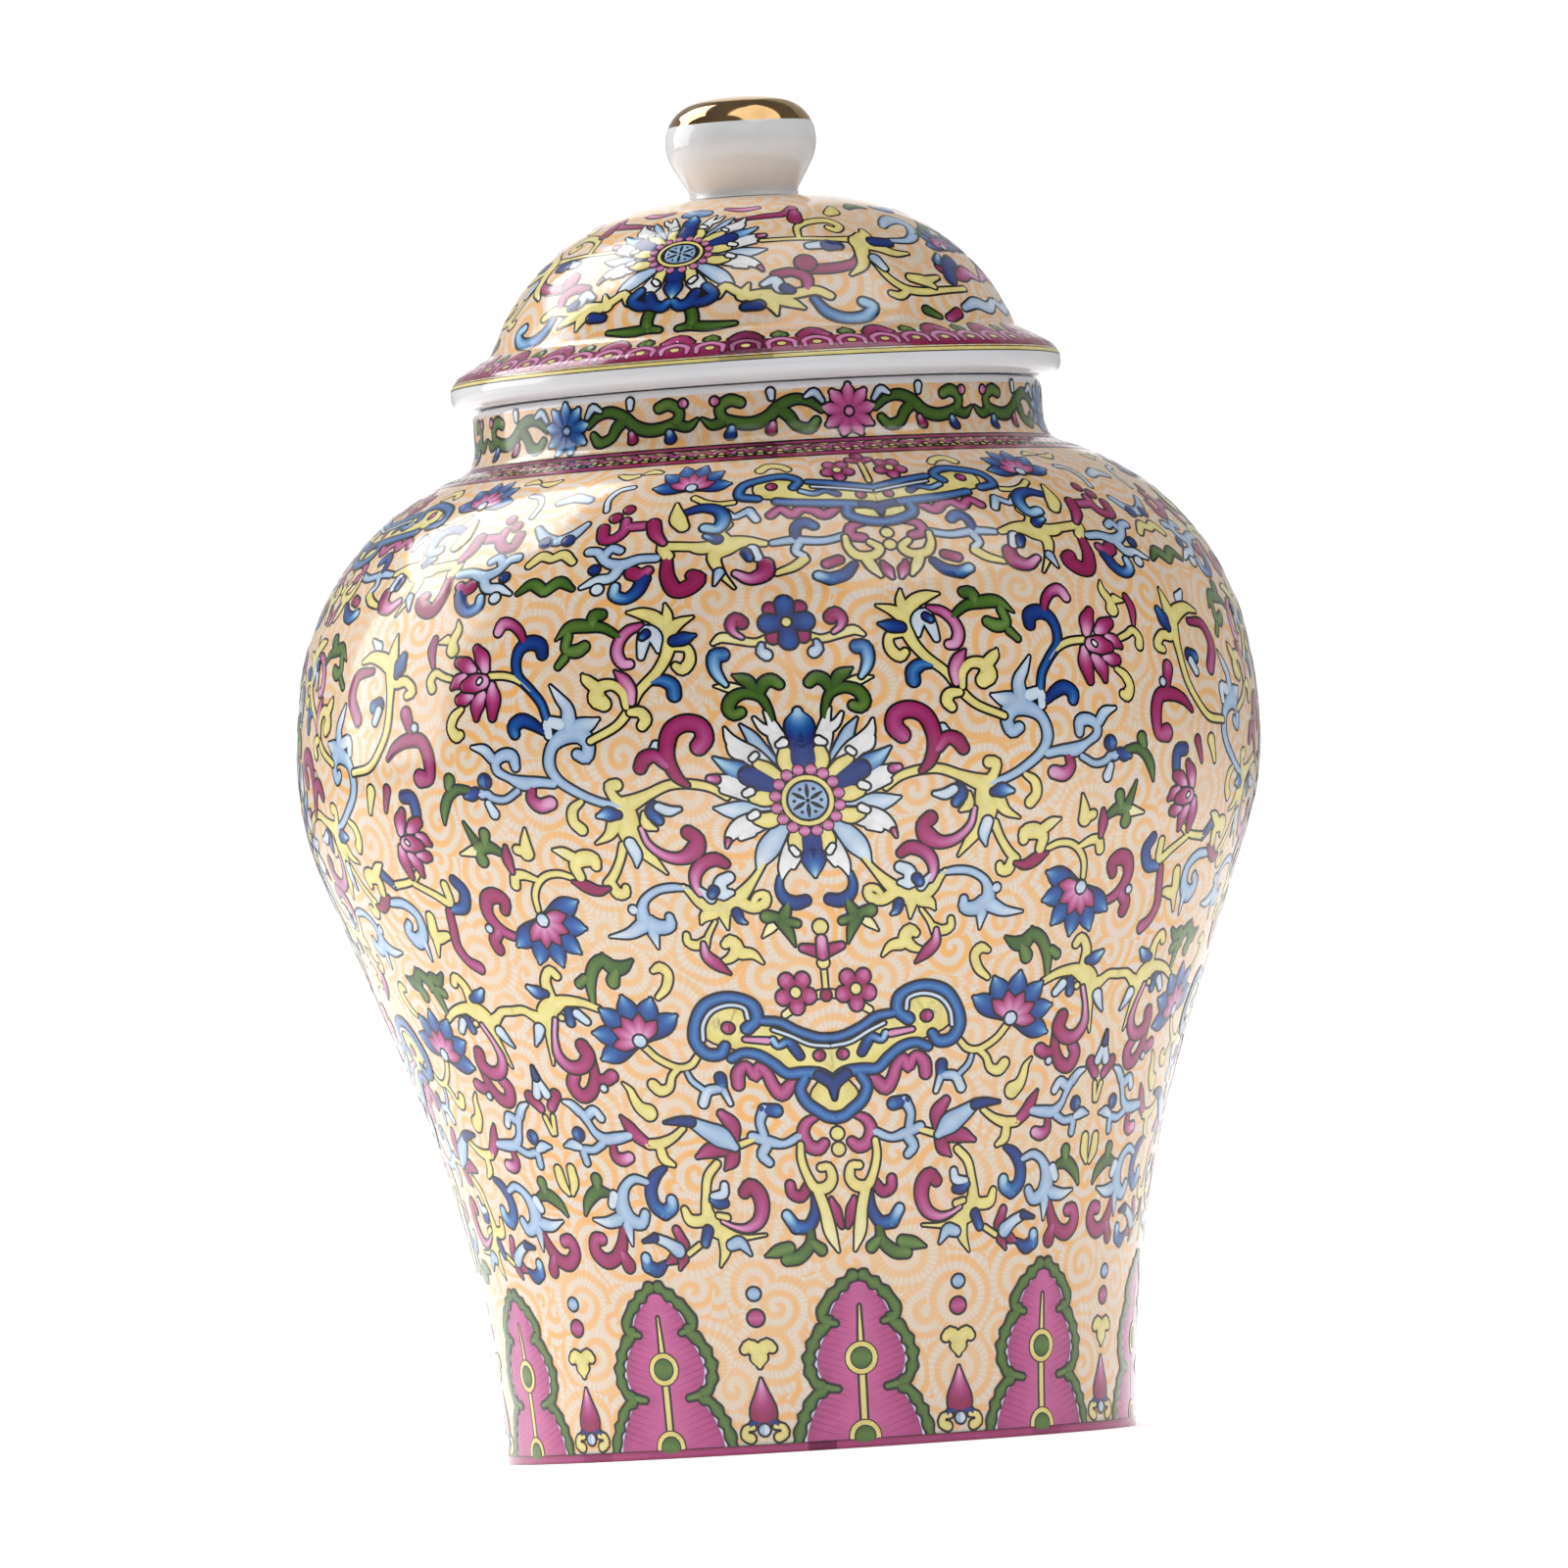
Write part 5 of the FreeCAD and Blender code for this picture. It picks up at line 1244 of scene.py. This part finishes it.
for k in range(4):
    piece = revolve(f"jar_wall_{k + 1}", outside + [neck_edge], ground, "jar",
                    -180 + 90 * k, -90 + 90 * k)
    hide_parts("jar_body")
lining = revolve("jar_lining", [neck_edge]
                 + arc((NECK - RIM_ROUND, rim_low), rim, 0, 90, 10, RIM_ROUND)
                 + arc((NECK - WALL + RIM_ROUND, rim_low), rim, 90, 180, 10, RIM_ROUND) + inside[::-1]
                 + arc((round_centre, inside[0][1]), FLOOR_ROUND, 0, -90, 6)[1:]
                 + line((round_centre, inside[0][1] - FLOOR_ROUND),
                        (0.01, inside[0][1] - FLOOR_ROUND), 6)[1:], white, "jar")
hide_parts("jar_body")
foot_low = JAR_LOW.z + FOOT_ROUND
foot_ring = revolve("jar_foot_ring", arc((RECESS + FOOT_ROUND, foot_low), FOOT_ROUND, 180, 270, 10)
                    + arc((foot_edge - FOOT_ROUND, foot_low), FOOT_ROUND, 270, 360, 10)
                    + [outside[0]], bare_biscuit("bare_biscuit"), "jar")
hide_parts("jar_body")
base_height = RECESS_DEPTH + ENAMEL_ROOM
base = revolve("jar_base", line((0.01, base_height), (RECESS, base_height), 6)
               + line((RECESS, RECESS_DEPTH), (RECESS, foot_low), 1), white, "jar")
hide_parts("jar_body")

# ---------------------------------------------------------------- the lid

BRIM_UNDER = 3.2
FLANGE_INNER = 50.0
PAINTED_FROM = 1.0     # length of white glaze that shows above the brim's widest place
lid_profile = lid_wall(ENAMEL_ROOM)
reached = np.concatenate(([0], np.cumsum(np.hypot(*np.diff(np.array(lid_profile), axis=0).T))))
painted = [p for p, s in zip(lid_profile, reached) if s >= PAINTED_FROM]
bare = [p for p, s in zip(lid_profile, reached) if s < PAINTED_FROM] + painted[:1]
crown = lid_profile[-1]
dome = revolve("lid_shell", painted + line(crown, (0.01, crown[1]), 3)[1:], ground,
               "lid")
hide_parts("lid_dome")
vault = [p for p in lid_wall(WALL - ENAMEL_ROOM) if p[0] < FLANGE_INNER]
under = revolve("lid_underside", line((0.01, vault[-1][1]), vault[-1], 3)[:-1] + vault[::-1]
                + line((FLANGE_INNER, vault[0][1]), (FLANGE_INNER, DOME_LOW.z), 2)
                + line((FLANGE_INNER, DOME_LOW.z), (DOME_HIGH.x - BRIM_UNDER, DOME_LOW.z), 2)
                + arc((DOME_HIGH.x - BRIM_UNDER, DOME_LOW.z + BRIM_UNDER), BRIM_UNDER - ENAMEL_ROOM,
                      270, 360, 10, BRIM_UNDER)[1:] + bare[1:], white, "lid")
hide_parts("lid_dome")

knob_white = white_glaze("knob_porcelain", (0.945, 0.945, 0.95))
for node_name, material in (("lid_flange", white), ("knob", knob_white),
                            ("knob_gilding", bright_gold("bright_gold"))):
    mesh = frame["nodes"][node_name].data
    mesh.materials.clear()
    mesh.materials.append(material)

# ---------------------------------------------------------------- camera, floor and light

def look(camera, place, aim, roll):
    """Point the camera from place to aim, turned about its own axis."""
    ahead = (aim - place).normalized()
    side = ahead.cross(Vector((0, 0, 1))).normalized()
    up = side.cross(ahead)
    right = side * cos(radians(roll)) - up * sin(radians(roll))
    top = side * sin(radians(roll)) + up * cos(radians(roll))
    camera.matrix_world = Matrix.Translation(place) @ Matrix((right, top, -ahead)).transposed().to_4x4()


scene = bpy.context.scene
camera_data = bpy.data.cameras.new("camera")
camera_data.lens = 382.4
camera_data.sensor_width = 36.0
camera_data.clip_end = 50.0
camera = bpy.data.objects.new("camera", camera_data)
scene.collection.objects.link(camera)
scene.camera = camera
look(camera, Vector((0.0006, -3.4491, 0.058)), Vector((0.0006, 0, 0.137)), 3.6)


def studio_paper():
    """White paper with a faint mottle that glows as painted light: faintly everywhere, and brighter in
    a broad pool behind and round the jar that washes out the jar's shadow.
    """
    material, tree, shader, node = new_material("studio_paper")
    shader.inputs["Roughness"].default_value = 0.9
    noise = ripple(tree, shader, node, 8.0, 0.0001)
    ramp = node("ShaderNodeMix", {"data_type": "RGBA"}, _0=noise.outputs["Fac"],
                _6=rgb((0.88, 0.88, 0.88)), _7=rgb((0.90, 0.90, 0.90)))
    tree.links.new(ramp.outputs[2], shader.inputs["Base Color"])
    # painted light: the paper's own glow, brightest along the middle and behind the jar, lights the
    # floor round the foot and hides the jar's shadow
    place = node("ShaderNodeSeparateXYZ", _0=node("ShaderNodeTexCoord").outputs["Object"]).outputs
    offside = node("ShaderNodeMath", {"operation": "ABSOLUTE"}, _0=place["X"]).outputs[0]
    widening = node("ShaderNodeMath", {"operation": "MULTIPLY_ADD"}, _0=place["Y"], _1=-0.06,
                    _2=offside).outputs[0]
    beside = node("ShaderNodeMapRange", {"interpolation_type": "SMOOTHSTEP"}, Value=widening,
                  _1=0.28, _2=0.6, _3=1.0, _4=0.0).outputs["Result"]
    behind = node("ShaderNodeMapRange", {"interpolation_type": "SMOOTHSTEP"}, Value=place["Y"],
                  _1=-0.6, _2=1.8, _3=0.6, _4=1.0).outputs["Result"]
    pool = node("ShaderNodeMath", {"operation": "MULTIPLY"}, _0=beside, _1=behind).outputs[0]
    glow = node("ShaderNodeMapRange", Value=pool, _1=0.0, _2=1.0, _3=0.2, _4=0.86)
    shader.inputs["Emission Color"].default_value = (1, 1, 1, 1)
    tree.links.new(glow.outputs["Result"], shader.inputs["Emission Strength"])
    return material


def sweep():
    """A pale floor that curves up into a wall well behind the jar."""
    curve = [(-6.0, 0), (0, 0), (4.6, 0)] + [
        (4.6 + 1.4 * sin(radians(a)), 1.4 - 1.4 * cos(radians(a))) for a in range(10, 91, 10)]
    curve.append((6.0, 6.0))
    vertices = [(x, y, z) for y, z in curve for x in (-7, 7)]
    faces = [(2 * k, 2 * k + 1, 2 * k + 3, 2 * k + 2) for k in range(len(curve) - 1)]
    mesh = bpy.data.meshes.new("backdrop")
    mesh.from_pydata(vertices, [], faces)
    mesh.polygons.foreach_set("use_smooth", [True] * len(faces))
    mesh.materials.append(studio_paper())
    floor = bpy.data.objects.new("backdrop", mesh)
    scene.collection.objects.link(floor)


def softbox(name, place, size, power):
    """A white area light turned towards the middle of the jar."""
    light = bpy.data.lights.new(name, "AREA")
    light.shape = "RECTANGLE"
    light.size, light.size_y = size
    light.energy = power
    lamp = bpy.data.objects.new(name, light)
    lamp.location = place
    lamp.rotation_euler = (Vector((0, 0, 0.15)) - Vector(place)).to_track_quat("-Z", "Y").to_euler()
    scene.collection.objects.link(lamp)


sweep()
softbox("window_left", (-1.7, 0.45, 0.75), (1.3, 1.2), 14.0)
softbox("window_high", (-1.25, 0.95, 1.85), (1.35, 1.2), 27.0)
softbox("key_front", (0.3, -2.6, 1.6), (1.8, 1.4), 6.0)
softbox("top", (0.8, -0.6, 2.5), (2.2, 2.2), 26.0)
world = bpy.data.worlds.new("studio")
world.use_nodes = True
world.node_tree.nodes["Background"].inputs["Color"].default_value = (0.95, 0.97, 1.0, 1)
world.node_tree.nodes["Background"].inputs["Strength"].default_value = 0.17
scene.world = world
scene.view_settings.view_transform = "Standard"
